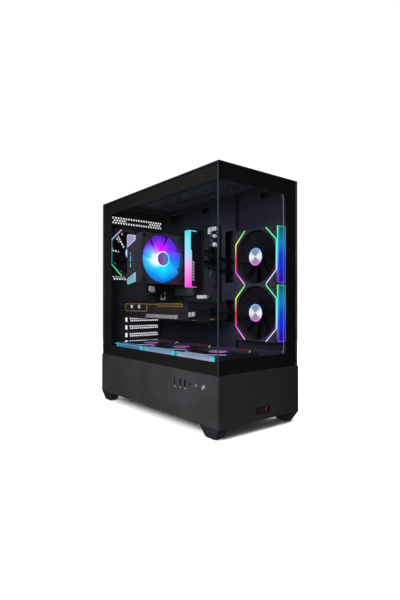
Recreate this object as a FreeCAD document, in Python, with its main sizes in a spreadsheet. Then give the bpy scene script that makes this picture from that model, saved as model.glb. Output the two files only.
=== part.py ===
# Desktop computer tower with a glass front and left side, as separate pieces in one frame.
# Millimetres. +X is right as seen from the front, the front faces -Y, +Z is up, and the origin
# is on the floor under the middle of the tower.
import FreeCAD, Part
import math
import os
import re
import Sketcher

doc = FreeCAD.newDocument("desktop_tower")

# ---------------------------------------------------------------- driving dimensions

SIZES = (
    # the outer box
    ("width", 219, "over the base panels"),
    ("depth", 450, "over the base panels"),
    ("height", 496, "floor to dust filter"),
    ("foot_height", 21, "floor to bottom pan"),
    ("pad_height", 2, "rubber pad under each foot"),
    ("split", 114, "floor to the joint of base and glass"),
    ("inset", 1.25, "step from the base panels back to the glass"),
    ("metal", 1.2, "steel sheet"),
    ("pane", 4, "tempered glass"),
    ("fit", 0.3, "gap round lift-off panels"),
    ("lid", 2, "top cover"),
    ("filter_thick", 1.5, "top dust filter"),
    ("filter_inset", 9, "edge of cover to edge of top filter"),
    ("back_level", 223.6, "outer face of the rear panel"),
    ("tray_level", 76, "face of the motherboard tray"),
    ("bracket_level", 88.2, "face of the side fan bracket"),
    ("bracket_edge", -72, "where the tray steps out to the fan bracket"),
    ("shroud_top", 121, "top face of the supply shroud"),
    ("rim", 18, "flange behind the printed glass borders"),
    # feet
    ("foot_long", 54, "foot along the tower, at the top"),
    ("foot_wide", 25, "foot across the tower, at the top"),
    ("foot_slope", 13, "how far the foot's ends lean in"),
    ("foot_lean", 3, "how far the foot's sides lean in"),
    # fans
    ("fan_size", 120, "case fan, square"),
    ("fan_thick", 25, "case fan"),
    ("fan_bore", 57.5, "radius of the air passage"),
    ("fan_tip", 53.6, "radius over the case fan blades"),
    ("fan_hub", 19.5, "radius of the case fan hub"),
    ("fan_holes", 52.5, "screw holes from the fan axis"),
    ("screw_hole", 2.15, "radius of fan screw holes"),
    ("shaft", 1.5, "radius of fan shafts"),
    ("shaft_play", 0.05, "radial running clearance"),
    ("light_bar", 3, "thickness of the light bar on a fan's side"),
    ("side_fan_face", 63.2, "face of the side fans"),
    ("side_fan_y", -147.5, "axis of the side fans"),
    ("side_fan_low", 222, "axis height of the lower side fan"),
    ("side_fan_high", 342, "axis height of the upper side fan"),
    ("floor_fan_x", -33, "axis of the bottom fans"),
    ("floor_fan_y", 112, "axis of the rearmost bottom fan"),
    ("floor_fan_pitch", 124, "bottom fan to bottom fan"),
    ("rear_fan_x", -38, "axis of the rear fan"),
    ("rear_fan_z", 372, "axis height of the rear fan"),
    # motherboard
    ("board_face", 68, "component side of the motherboard"),
    ("board_thick", 1.6, "circuit boards"),
    ("board_back", 217, "rear edge of the motherboard"),
    ("board_top", 427, "upper edge of the motherboard"),
    ("board_side", 244, "micro ATX board, square"),
    ("aperture_wide", 44.45, "rear connector aperture across"),
    ("aperture_tall", 158.75, "rear connector aperture upright"),
    ("slot_low", 137.4, "height of the lowest card slot"),
    ("slot_pitch", 20.32, "card slot spacing"),
    ("memory_y", 43, "memory module nearest the processor"),
    ("memory_pitch", 9.3, "memory slot spacing"),
    ("memory_long", 133.35, "memory module"),
    ("memory_low", 283, "lower end of the memory"),
    ("memory_face", 21, "outer edge of the memory light bars"),
    ("memory_step", 86, "height on the module where its light bar narrows"),
    # processor cooler
    ("cooler_x", -28, "axis of the cooler fan"),
    ("cooler_z", 348.5, "axis height of the cooler fan"),
    ("cooler_front", 67, "front face of the cooler fan"),
    ("fins_back", 134, "rear of the fin stack"),
    ("cooler_face", -88, "outer face of the cooler cover"),
    ("cooler_tip", 57, "radius over the cooler fan blades"),
    ("pipe", 3, "radius of the heat pipes"),
    # graphics card
    ("card_face", -60, "outer long edge of the card"),
    ("card_inner", 52, "long edge of the card's cooler near the board"),
    ("card_front", -72, "front end of the card"),
    ("card_rear", 213, "rear end of the card's shroud"),
    ("card_low", 205.5, "underside of the card"),
    ("card_high", 245.6, "top of the card's backplate"),
    ("card_tip", 43.5, "radius over the card's fan blades"),
    ("card_fan_pitch", 92, "card fan spacing"),
    # power supply
    ("supply_left", -76, "supply, left side"),
    ("supply_wide", 150, "supply across"),
    ("supply_tall", 86, "supply height"),
    ("supply_long", 140, "supply length"),
    ("supply_low", 22.6, "underside of the supply"),
    ("supply_tip", 56, "radius over the supply's fan blades"),
    # front controls on the left base panel
    ("port_z", 89.7, "height of the control row"),
    ("port_y", -95, "rearmost USB socket"),
    ("port_tall", 13.1, "USB socket shell"),
    ("port_wide", 5.7, "USB socket shell"),
    ("jack_y", -142, "audio jack"),
    ("reset_y", -160.5, "reset button"),
    ("power_y", -182, "power button"),
    ("button_play", 0.35, "gap round the buttons"),
    ("mesh_pitch", 7.4, "spacing of punched vents"),
    ("mesh_hole", 2.9, "corner radius of punched vent hexagons"),
    ("head", 3.2, "radius of the screw heads at the back"),
    ("cover_half", 9, "half the height of a card slot cover"),
)

sheet = doc.addObject("Spreadsheet::Sheet", "Sizes")
for row, (alias, value, note) in enumerate(SIZES, 1):
    sheet.set(f"A{row}", note)
    sheet.set(f"B{row}", str(value))
    sheet.setAlias(f"B{row}", alias)
doc.recompute()

WORD = re.compile(r"[a-z][a-z_]+")
FUNCTIONS = {"sin", "cos", "tan"}


def linked(expression):
    """Point every alias in an expression at the sheet."""
    def name(match):
        word = match.group(0)
        return word if word in FUNCTIONS else "Sizes." + word
    return WORD.sub(name, str(expression))


def bind(thing, prop, expression):
    thing.setExpression(prop, linked(expression))


def size(expression):
    """The number that an expression of the sheet's aliases gives now."""
    return float(sheet.evalExpression(linked(expression)))


# ---------------------------------------------------------------- ways of making pieces

# sketch plane, direction of its normal along the axis
PLANES = {"x": ("YZ_Plane", 1), "y": ("XZ_Plane", -1), "z": ("XY_Plane", 1)}
TURNS = {
    "x": FreeCAD.Rotation(FreeCAD.Vector(0, 1, 0), 90),
    "y": FreeCAD.Rotation(FreeCAD.Vector(1, 0, 0), -90),
    "z": FreeCAD.Rotation(),
    # how a fan that is drawn facing +Z is turned
    "up": FreeCAD.Rotation(),
    "down": FreeCAD.Rotation(FreeCAD.Vector(1, 0, 0), 180),
    "forward": FreeCAD.Rotation(FreeCAD.Vector(1, 0, 0), 90),
    "left": FreeCAD.Rotation(FreeCAD.Vector(0, 1, 0), FreeCAD.Vector(0, 0, -1), FreeCAD.Vector(-1, 0, 0)),
}


def place(thing, at, turn="z"):
    """Give a piece its turn, and bind its place to the sheet."""
    thing.Placement = FreeCAD.Placement(FreeCAD.Vector(), TURNS[turn])
    for axis, expression in zip("xyz", at):
        bind(thing, ".Placement.Base." + axis, expression)
    return thing


def box(name, x, y, z):
    """A block between pairs of low and high places."""
    block = doc.addObject("Part::Box", name)
    for side, (low, high) in zip(("Length", "Width", "Height"), (x, y, z)):
        bind(block, side, f"({high}) - ({low})")
    return place(block, (x[0], y[0], z[0]))


def rod(name, along, at, radius, length):
    """A cylinder that starts at a point and runs along +X, +Y or +Z."""
    cylinder = doc.addObject("Part::Cylinder", name)
    bind(cylinder, "Radius", radius)
    bind(cylinder, "Height", length)
    return place(cylinder, at, along)


def fuse(name, pieces):
    joined = doc.addObject("Part::MultiFuse", name)
    joined.Shapes = pieces
    return joined


def group(name, pieces):
    """Separate solids that share a node."""
    together = doc.addObject("Part::Compound", name)
    together.Links = pieces
    return together


def cut(name, base, tool):
    less = doc.addObject("Part::Cut", name)
    less.Base = base
    less.Tool = tool
    return less


def common(name, base, tool):
    both = doc.addObject("Part::Common", name)
    both.Base = base
    both.Tool = tool
    return both


def new_body(name):
    return doc.addObject("PartDesign::Body", name)


def corners(outline):
    """A rectangle (low, high, low, high) as its four corners; any other outline as it is."""
    if isinstance(outline, list):
        return outline
    left, right, low, high = outline
    return [(left, low), (right, low), (right, high), (left, high)]


def draw_polygon(sketch, outline):
    points = corners(outline)
    spots = [FreeCAD.Vector(size(u), size(v), 0) for u, v in points]
    count = len(points)
    lines = [Part.LineSegment(spots[i], spots[(i + 1) % count]) for i in range(count)]
    first = sketch.GeometryCount
    sketch.addGeometry(lines, False)
    rules = []
    for i in range(count):
        rules.append(Sketcher.Constraint("Coincident", first + i, 2, first + (i + 1) % count, 1))
    for i, spot in enumerate(spots):
        rules.append(Sketcher.Constraint("DistanceX", -1, 1, first + i, 1, spot.x))
        rules.append(Sketcher.Constraint("DistanceY", -1, 1, first + i, 1, spot.y))
    number = sketch.ConstraintCount + count
    sketch.addConstraint(rules)
    for u, v in points:
        bind(sketch, f"Constraints[{number}]", u)
        bind(sketch, f"Constraints[{number + 1}]", v)
        number += 2


def draw_circle(sketch, circle):
    u, v, radius = circle
    centre = FreeCAD.Vector(size(u), size(v), 0)
    ring = sketch.addGeometry(Part.Circle(centre, FreeCAD.Vector(0, 0, 1), size(radius)), False)
    number = sketch.ConstraintCount
    sketch.addConstraint([
        Sketcher.Constraint("DistanceX", -1, 1, ring, 3, centre.x),
        Sketcher.Constraint("DistanceY", -1, 1, ring, 3, centre.y),
        Sketcher.Constraint("Radius", ring, size(radius)),
    ])
    for step, expression in enumerate((u, v, radius)):
        bind(sketch, f"Constraints[{number + step}]", expression)


def origin_part(body, role):
    """One of the body's own origin planes or axes."""
    return next(item for item in body.Origin.OriginFeatures if item.Role == role)


def draw(body, name, axis, level, outlines):
    """A sketch across an axis. Outlines are circles (u, v, radius), rectangles or corner lists."""
    role, way = PLANES[axis]
    sketch = body.newObject("Sketcher::SketchObject", name)
    sketch.AttachmentSupport = (origin_part(body, role), "")
    sketch.MapMode = "FlatFace"
    bind(sketch, ".AttachmentOffset.Base.z", f"{way} * ({level})")
    for outline in outlines:
        if len(outline) == 3 and not isinstance(outline, list):
            draw_circle(sketch, outline)
        else:
            draw_polygon(sketch, outline)
    return sketch


def pad(body, axis, low, high, *outlines):
    """Add the outlines, less the outlines inside them, between two levels along an axis."""
    number = len(body.Group)
    sketch = draw(body, f"{body.Name}_outline_{number}", axis, low, outlines)
    feature = body.newObject("PartDesign::Pad", f"{body.Name}_pad_{number}")
    feature.Profile = sketch
    bind(feature, "Length", f"({high}) - ({low})")
    feature.Reversed = PLANES[axis][1] < 0
    sketch.Visibility = False
    return feature


def repeat_cut(body, axis, level, direction, pitch, count, *outlines):
    """Cut the outlines right through, and repeat the cut along the sketch's own axis."""
    number = len(body.Group)
    sketch = draw(body, f"{body.Name}_cut_{number}", axis, level, outlines)
    pocket = body.newObject("PartDesign::Pocket", f"{body.Name}_pocket_{number}")
    pocket.Profile = sketch
    pocket.Type = "ThroughAll"
    pocket.SideType = "Symmetric"
    rows = body.newObject("PartDesign::LinearPattern", f"{body.Name}_rows_{number}")
    rows.Originals = [pocket]
    rows.Direction = (sketch, [direction])
    bind(rows, "Length", f"({pitch}) * {count - 1}")
    rows.Occurrences = count
    body.Tip = rows
    return rows


HEXAGON = [(0, 1), (0.866, 0.5), (0.866, -0.5), (0, -1), (-0.866, -0.5), (-0.866, 0.5)]


def punches(name, axis, low, high, centres, radius):
    """Hexagonal punches through a sheet, as one cutting tool."""
    spots = {
        "x": lambda u, v: FreeCAD.Vector(low, u, v),
        "y": lambda u, v: FreeCAD.Vector(u, low, v),
        "z": lambda u, v: FreeCAD.Vector(u, v, low),
    }[axis]
    reach = {"x": (1, 0, 0), "y": (0, 1, 0), "z": (0, 0, 1)}[axis]
    travel = FreeCAD.Vector(*reach) * (high - low)
    solids = []
    for u, v in centres:
        ring = [(radius * x, radius * y) for x, y in HEXAGON]
        outline = Part.makePolygon([spots(u + du, v + dv) for du, dv in ring + ring[:1]])
        solids.append(Part.Face(outline).extrude(travel))
    tool = doc.addObject("Part::Feature", name)
    tool.Shape = Part.makeCompound(solids)
    return tool


def pierced(name, axis, low, high, outline, windows, centres, radius):
    """A flat sheet with rectangular windows and hexagonal holes, made from one pierced face."""
    spot = {
        "x": lambda u, v: FreeCAD.Vector(low, u, v),
        "y": lambda u, v: FreeCAD.Vector(u, low, v),
        "z": lambda u, v: FreeCAD.Vector(u, v, low),
    }[axis]
    rings = [[(size(u), size(v)) for u, v in corners(ring)] for ring in (outline, *windows)]
    rings += [[(u + radius * x, v + radius * y) for x, y in HEXAGON] for u, v in centres]
    wires = [Part.makePolygon([spot(u, v) for u, v in ring + ring[:1]]) for ring in rings]
    face = Part.makeFace(wires, "Part::FaceMakerBullseye")
    travel = FreeCAD.Vector(*[high - low if letter == axis else 0 for letter in "xyz"])
    plate = doc.addObject("Part::Feature", name)
    plate.Shape = face.extrude(travel)
    return plate


def honeycomb(u, v, reach, pitch, inside=None):
    """Hole centres of a honeycomb round a point: within a circle, or within a test of its own."""
    if inside is None:
        inside = lambda du, dv: du * du + dv * dv <= reach * reach
    rise = pitch * 0.866
    steps = int(reach / rise) + 2
    centres = []
    for row in range(-steps, steps + 1):
        shift = pitch / 2 if row % 2 else 0
        for column in range(-steps, steps + 1):
            du, dv = column * pitch + shift, row * rise
            if inside(du, dv):
                centres.append((u + du, v + dv))
    return centres


def stack(name, piece, step, count):
    """Equal pieces in a row, such as fins, as separate solids."""
    doc.recompute()
    row = doc.addObject("Part::Feature", name)
    row.Shape = Part.makeCompound(
        [piece.Shape.translated(FreeCAD.Vector(*step) * i) for i in range(count)])
    return row


def tube(name, points, radius, arc_share=0.45):
    """A round bar or cable along straight runs joined by tangent arcs as large as they allow."""
    spots = [FreeCAD.Vector(*point) for point in points]
    edges = []
    start = spots[0]
    for before, corner, after in zip(spots, spots[1:], spots[2:]):
        back, ahead = before - corner, after - corner
        reach = arc_share * min(back.Length, ahead.Length)
        first = corner + back.normalize() * reach
        last = corner + ahead.normalize() * reach
        half_turn = (FreeCAD.Vector(0, 0, 0) - back).getAngle(ahead) / 2
        bend = reach / math.tan(half_turn)
        inward = (back + ahead).normalize()
        middle = corner + inward * (bend / math.cos(half_turn) - bend)
        print(f"{name}: bend radius {bend:.1f}")
        edges.append(Part.LineSegment(start, first).toShape())
        edges.append(Part.Arc(first, middle, last).toShape())
        start = last
    edges.append(Part.LineSegment(start, spots[-1]).toShape())
    route = Part.Wire(edges)
    ring = Part.Wire(Part.makeCircle(radius, spots[0], spots[1] - spots[0]))
    swept = route.makePipeShell([ring], True, False)
    print(f"{name}: volume {swept.Volume / (math.pi * radius ** 2 * route.Length):.3f} of section x length")
    piece = doc.addObject("Part::Feature", name)
    piece.Shape = swept
    return piece


# ---------------------------------------------------------------- places used by many pieces

LEFT, RIGHT = "-width / 2", "width / 2"
FRONT, BACK = "-depth / 2", "depth / 2"
GLASS_LEFT, GLASS_RIGHT = "-width / 2 + inset", "width / 2 - inset"
GLASS_FRONT = "-depth / 2 + inset"
INNER_LEFT = "-width / 2 + inset + pane + fit"
INNER_FRONT = "-depth / 2 + inset + pane + fit"
BACK_INNER = "back_level - metal"
COVER_HIGH = "height - filter_thick"
COVER_LOW = "height - filter_thick - lid"
PAN_TOP = "foot_height + metal"
BOARD_BACK_FACE = "board_face + board_thick"
BOARD_LOW = "board_top - board_side"
BOARD_FRONT = "board_back - board_side"
SLOTS = range(7)
CARD_SLOTS = (4, 5)

nodes = []


def node(label, piece):
    """Keep a piece as a part of the tower, under its own name."""
    piece.Label = label
    nodes.append(piece)
    return piece


# ---------------------------------------------------------------- steel frame


def sorted_pair(side, near, far):
    """A low and a high place either side of the middle."""
    return tuple(sorted((side * near, side * far)))


def bottom_pan():
    body = new_body("pan")
    pad(body, "z", "foot_height", PAN_TOP,
        ("-width / 2 + 1.6", "width / 2 - 1.6", "-depth / 2 + 1.6", BACK_INNER))
    for low, high in (("-width / 2 + 1.6", "-width / 2 + 2.8"), ("width / 2 - 2.8", "width / 2 - 1.6")):
        pad(body, "z", PAN_TOP, "foot_height + 12", (low, high, "-depth / 2 + 1.6", BACK_INNER))
    for side in (-1, 1):
        pad(body, "z", "foot_height - 4", "foot_height", (*sorted_pair(side, 77, 80), "62", BACK_INNER))
        pad(body, "z", "foot_height - 5", "foot_height - 4", (*sorted_pair(side, 72, 80), "62", BACK_INNER))
    slots = [("-52", "-3", "92", "97"), ("3", "52", "92", "97")]
    repeat_cut(body, "z", "foot_height", "V_Axis", "9", 12, *slots)
    return node("bottom_pan", body)


def rear_panel():
    windows = [
        ("supply_left + 4", "supply_left + supply_wide - 4",
         "supply_low + 4", "supply_low + supply_tall - 4"),
        ("board_face - 1.5 - aperture_wide", "board_face - 1.5",
         "board_top - aperture_tall", "board_top"),
    ]
    for slot in SLOTS:
        middle = f"slot_low + {slot} * slot_pitch"
        windows.append(("-46", "60", f"{middle} - 6.2", f"{middle} + 6.2"))
    outline = ("-width / 2 + 1.6", "width / 2 - 2.6", PAN_TOP, f"{COVER_LOW} - 0.2")
    axis = size("rear_fan_x"), size("rear_fan_z")
    centres = honeycomb(*axis, size("fan_bore") - 3, size("mesh_pitch"))
    centres += [(axis[0] + du * size("fan_holes"), axis[1] + dv * size("fan_holes"))
                for du in (-1, 1) for dv in (-1, 1)]
    first, pitch = -79, 7.75
    for row, columns in ((465.5, range(20)), (452.5, range(20)), (312.5, range(5))):
        centres += [(first + column * pitch, row) for column in columns]
    for row, columns in ((459, (0, 1, 2, 3, 4, 14, 15, 16, 17, 18)), (306, range(5))):
        centres += [(first + pitch / 2 + column * pitch, row) for column in columns]
    return node("rear_panel", pierced("back_sheet", "y", size(BACK_INNER), size("back_level"),
                                      outline, windows, centres, size("mesh_hole")))


def motherboard_tray():
    body = new_body("tray_sheet")
    cable_slots = [
        ("127", "185", "461", "483"),
        ("17", "49", "466", "486"),
        ("bracket_edge + 5", "bracket_edge + 33", "290", "410"),
        ("bracket_edge + 5", "bracket_edge + 33", "200", "250"),
        ("20", "130", "295", "400"),
    ]
    pad(body, "x", "tray_level", "tray_level + metal",
        ("bracket_edge", f"{BACK_INNER} - 0.2", "shroud_top", f"{COVER_LOW} - 0.2"), *cable_slots)
    step = ("bracket_edge - metal", "bracket_edge", "shroud_top", f"{COVER_LOW} - 0.2")
    pad(body, "x", "tray_level", "bracket_level + metal", step)
    outline = (INNER_FRONT, "bracket_edge", "shroud_top", f"{COVER_LOW} - 0.2")
    centres = []
    for axis in ("side_fan_low", "side_fan_high"):
        centres += honeycomb(size("side_fan_y"), size(axis), size("fan_bore") - 3, size("mesh_pitch"))
        centres += [(size("side_fan_y") + du * size("fan_holes"), size(axis) + dv * size("fan_holes"))
                    for du in (-1, 1) for dv in (-1, 1)]
    bracket = pierced("fan_bracket", "x", size("bracket_level"), size("bracket_level + metal"),
                      outline, [("-172", "-140", "470", "488")], centres, size("mesh_hole"))
    return node("motherboard_tray", fuse("tray_and_bracket", [body, bracket]))


def supply_shroud():
    body = new_body("shroud_sheet")
    cable_slots = [("46", "70", "-190", "-100"), ("46", "70", "20", "110")]
    pad(body, "z", "shroud_top - metal", "shroud_top",
        (INNER_LEFT, "tray_level - 0.2", INNER_FRONT, f"{BACK_INNER} - 0.2"), *cable_slots)
    pad(body, "x", INNER_LEFT, f"{INNER_LEFT} + metal",
        (INNER_FRONT, f"{BACK_INNER} - 0.2", "foot_height + 12.5", "shroud_top - metal"),
        ("power_y - 14", "port_y + 12", "port_z - 16", "port_z + 16"))
    pad(body, "y", INNER_FRONT, f"{INNER_FRONT} + metal",
        (INNER_LEFT, "tray_level - 0.2", PAN_TOP, "shroud_top - metal"))
    slots = [("floor_fan_x - 46", "floor_fan_x - 4", "-176", "-170"),
             ("floor_fan_x + 4", "floor_fan_x + 46", "-176", "-170")]
    repeat_cut(body, "z", "shroud_top", "V_Axis", "10.6", 32, *slots)
    return node("power_supply_shroud", body)


def top_cover():
    body = new_body("cover_sheet")
    pad(body, "z", COVER_LOW, COVER_HIGH, (GLASS_LEFT, GLASS_RIGHT, GLASS_FRONT, "back_level + 0.2"))
    for outline in ((INNER_LEFT, f"{INNER_LEFT} + metal", INNER_FRONT, f"{BACK_INNER} - 0.4"),
                    (INNER_LEFT, "tray_level - 0.4", INNER_FRONT, f"{INNER_FRONT} + metal")):
        pad(body, "z", f"{COVER_LOW} - rim", COVER_LOW, outline)
    slots = [("-88", "-32", "-195", "-191"), ("-26", "30", "-195", "-191"), ("36", "72", "-195", "-191")]
    repeat_cut(body, "z", COVER_LOW, "V_Axis", "8", 46, *slots)
    return node("top_cover", body)


def top_filter():
    body = new_body("filter_frame")
    outline = (f"{GLASS_LEFT} + filter_inset", f"{GLASS_RIGHT} - filter_inset",
               f"{GLASS_FRONT} + filter_inset", "back_level - filter_inset")
    pad(body, "z", f"{COVER_HIGH}", "height", outline)
    return node("top_dust_filter", body)


# ---------------------------------------------------------------- outer panels


def slanted(y, long, wide, play="0"):
    """A slanted slot on a side panel, leaning forward as it rises: a parallelogram."""
    reach, lift, side = f"({long} / 2 + {play})", f"({long} / 2 + {play})", f"({wide} / 2 + {play})"
    return [
        (f"{y} + {reach} - {side}", f"port_z - {lift} - {side}"),
        (f"{y} + {reach} + {side}", f"port_z - {lift} + {side}"),
        (f"{y} - {reach} + {side}", f"port_z + {lift} + {side}"),
        (f"{y} - {reach} - {side}", f"port_z + {lift} - {side}"),
    ]


BADGE = ("-15", "23", "33", "46")
SIDE_SCREW_X = "width / 2 - 7"
SIDE_SCREWS = ("150", "470")
USB_PLACES = ("port_y", "port_y - 17.4", "port_y - 32.5")


def base_panels():
    left = new_body("left_base_sheet")
    openings = [(f"{y} - port_wide / 2 - 0.2", f"{y} + port_wide / 2 + 0.2",
                 "port_z - port_tall / 2 - 0.2", "port_z + port_tall / 2 + 0.2") for y in USB_PLACES]
    openings += [("jack_y", "port_z", "3.2")]
    openings += [slanted("power_y", 6.4, 3.4, "button_play"), slanted("reset_y", 3.4, 2, "button_play")]
    face = (f"{FRONT} + metal + 0.8", BACK, "foot_height", "split")
    pad(left, "x", LEFT, f"{LEFT} + metal", face, *openings)
    ledge = (f"{FRONT} + metal + 0.8", f"{BACK_INNER} - 0.3")
    pad(left, "z", "split - metal", "split", (LEFT, f"{LEFT} + 5", *ledge))
    node("left_base_panel", left)
    right = new_body("right_base_sheet")
    pad(right, "x", f"{RIGHT} - metal", RIGHT, face)
    pad(right, "z", "split - metal", "split", (f"{RIGHT} - 5", RIGHT, *ledge))
    repeat_cut(right, "x", RIGHT, "V_Axis", "7", 9, ("110", "200", "40", "43"), ("-180", "-60", "40", "43"))
    node("right_base_panel", right)
    front = new_body("front_base_sheet")
    pad(front, "y", FRONT, f"{FRONT} + metal", (LEFT, RIGHT, "foot_height", "split"), BADGE)
    pad(front, "z", "split - metal", "split",
        (f"{LEFT} + 5.3", f"{RIGHT} - 5.3", FRONT, f"{FRONT} + 5"))
    node("front_base_panel", front)
    badge = new_body("badge_plate")
    left_edge, right_edge, low, high = BADGE
    pad(badge, "y", f"{FRONT} + 0.2", f"{FRONT} + metal + 0.6",
        (f"{left_edge} + 0.2", f"{right_edge} - 0.2", f"{low} + 0.2", f"{high} - 0.2"))
    node("front_badge", badge)


def upper_side_panel():
    low, high = "split + fit", f"{COVER_LOW} - fit"
    centres = []
    for axis in ("side_fan_low", "side_fan_high"):
        centres += honeycomb(size("side_fan_y"), size(axis), size("fan_bore") - 3, size("mesh_pitch"))
    outline = (f"{GLASS_FRONT} + pane + fit", "back_level + 1", low, high)
    plate = pierced("side_sheet", "x", size(f"{GLASS_RIGHT} - metal"), size(GLASS_RIGHT),
                    outline, [], centres, size("mesh_hole"))
    behind = ("back_level + 0.1", "back_level + 1")
    flange = box("side_flange", (f"{GLASS_RIGHT} - 12", f"{GLASS_RIGHT} - metal"), behind, (low, high))
    notches = [box(f"side_notch_{z}", (f"{GLASS_RIGHT} - 12", f"{SIDE_SCREW_X} + head + fit"), behind,
                   (f"{z} - head - fit", f"{z} + head + fit")) for z in SIDE_SCREWS]
    notched = cut("side_flange_notched", flange, group("side_notches", notches))
    return node("right_side_panel", fuse("side_sheet_bent", [plate, notched]))


def glass():
    high, low = f"{COVER_LOW} - fit", "split + fit"
    node("left_glass", box("side_pane", (GLASS_LEFT, f"{GLASS_LEFT} + pane"),
                           (f"{GLASS_FRONT} + pane + fit", "back_level - 4"), (low, high)))
    node("front_glass", box("front_pane", (GLASS_LEFT, GLASS_RIGHT),
                            (GLASS_FRONT, f"{GLASS_FRONT} + pane"), (low, high)))


def feet():
    legs, pads = [], []
    for across in (-1, 1):
        for along in (-1, 1):
            name = f"foot_{'left' if across < 0 else 'right'}_{'front' if along < 0 else 'rear'}"
            leg = doc.addObject("Part::Wedge", name)
            spans = {
                "Xmin": "0", "Xmax": "foot_wide", "Ymin": "0", "Ymax": "foot_height - pad_height",
                "Zmin": "0", "Zmax": "foot_long", "X2min": "foot_lean", "X2max": "foot_wide - foot_lean",
                "Z2min": "foot_slope", "Z2max": "foot_long - foot_slope",
            }
            for side, expression in spans.items():
                bind(leg, side, expression)
            leg.Placement.Rotation = FreeCAD.Rotation(FreeCAD.Vector(1, 0, 0), -90)
            near = f"{LEFT}" if across < 0 else f"{RIGHT} - foot_wide"
            end = FRONT if along < 0 else f"{BACK} - foot_long"
            for axis, expression in zip("xyz", (near, end, "foot_height")):
                bind(leg, ".Placement.Base." + axis, expression)
            legs.append(leg)
            pads.append(box(f"{name}_pad",
                            (f"{near} + foot_lean + 1", f"{near} + foot_wide - foot_lean - 1"),
                            (f"{end} + foot_slope + 1.5", f"{end} + foot_long - foot_slope - 1.5"),
                            ("0", "pad_height")))
    node("feet", group("feet_group", legs))
    node("foot_pads", group("foot_pads_group", pads))


def slot_covers():
    covers = []
    for slot in SLOTS:
        if slot in CARD_SLOTS:
            continue
        middle = f"slot_low + {slot} * slot_pitch"
        body = new_body(f"slot_cover_{slot}")
        vented = slot < min(CARD_SLOTS)
        window = [("-44", "-37.3", f"{middle} - 5.4", f"{middle} + 5.4")] if vented else []
        pad(body, "y", f"{BACK_INNER} - 1.1", f"{BACK_INNER} - 0.1",
            ("-50", "62", f"{middle} - cover_half", f"{middle} + cover_half"), *window)
        if vented:
            repeat_cut(body, "y", BACK_INNER, "H_Axis", "6", 15,
                       ("-31", "-27", f"{middle} + 1", f"{middle} + 4.6"),
                       ("-29", "-25", f"{middle} - 4.6", f"{middle} - 1"))
        covers.append(body)
    node("card_slot_covers", group("slot_cover_group", covers))


# ---------------------------------------------------------------- front controls


def controls():
    sockets = []
    for number, y in enumerate(USB_PLACES):
        body = new_body(f"usb_shell_{number}")
        outline = (f"{y} - port_wide / 2", f"{y} + port_wide / 2",
                   "port_z - port_tall / 2", "port_z + port_tall / 2")
        cavity = (f"{y} - port_wide / 2 + 0.35", f"{y} + port_wide / 2 - 0.35",
                  "port_z - port_tall / 2 + 0.35", "port_z + port_tall / 2 - 0.35")
        pad(body, "x", f"{LEFT} + 0.1", f"{LEFT} + 12.4", outline, cavity)
        pad(body, "x", f"{LEFT} + 12.4", f"{LEFT} + 14", outline)
        pad(body, "x", f"{LEFT} + 0.8", f"{LEFT} + 12.4",
            (f"{y} + 0.2", f"{y} + 2", "port_z - port_tall / 2 + 0.9", "port_z + port_tall / 2 - 0.9"))
        sockets.append(body)
    node("usb_sockets", group("usb_group", sockets))

    jack = new_body("jack_body")
    pad(jack, "x", f"{LEFT} + 0.1", f"{LEFT} + 12", ("jack_y", "port_z", "3"), ("jack_y", "port_z", "1.8"))
    pad(jack, "x", f"{LEFT} + 12", f"{LEFT} + 14", ("jack_y - 3", "jack_y + 3", "port_z - 3", "port_z + 3"))
    node("audio_jack", jack)

    board = new_body("control_board")
    pad(board, "x", f"{LEFT} + 14", f"{LEFT} + 14 + board_thick",
        ("power_y - 11", "port_y + 9", "port_z - 13", "port_z + 13"))
    for y, reach in (("power_y", 3), ("reset_y", 2)):
        pad(board, "x", f"{LEFT} + 7.2", f"{LEFT} + 14",
            (f"{y} - {reach}", f"{y} + {reach}", f"port_z - {reach}", f"port_z + {reach}"))
    node("control_board", board)

    for name, y, long, wide in (("power_button", "power_y", 6.4, 3.4), ("reset_button", "reset_y", 3.4, 2)):
        body = new_body(f"{name}_cap")
        pad(body, "x", f"{LEFT} + 0.1", f"{LEFT} + 5.2", slanted(y, long, wide))
        node(name, body)


# ---------------------------------------------------------------- motherboard and memory


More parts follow.
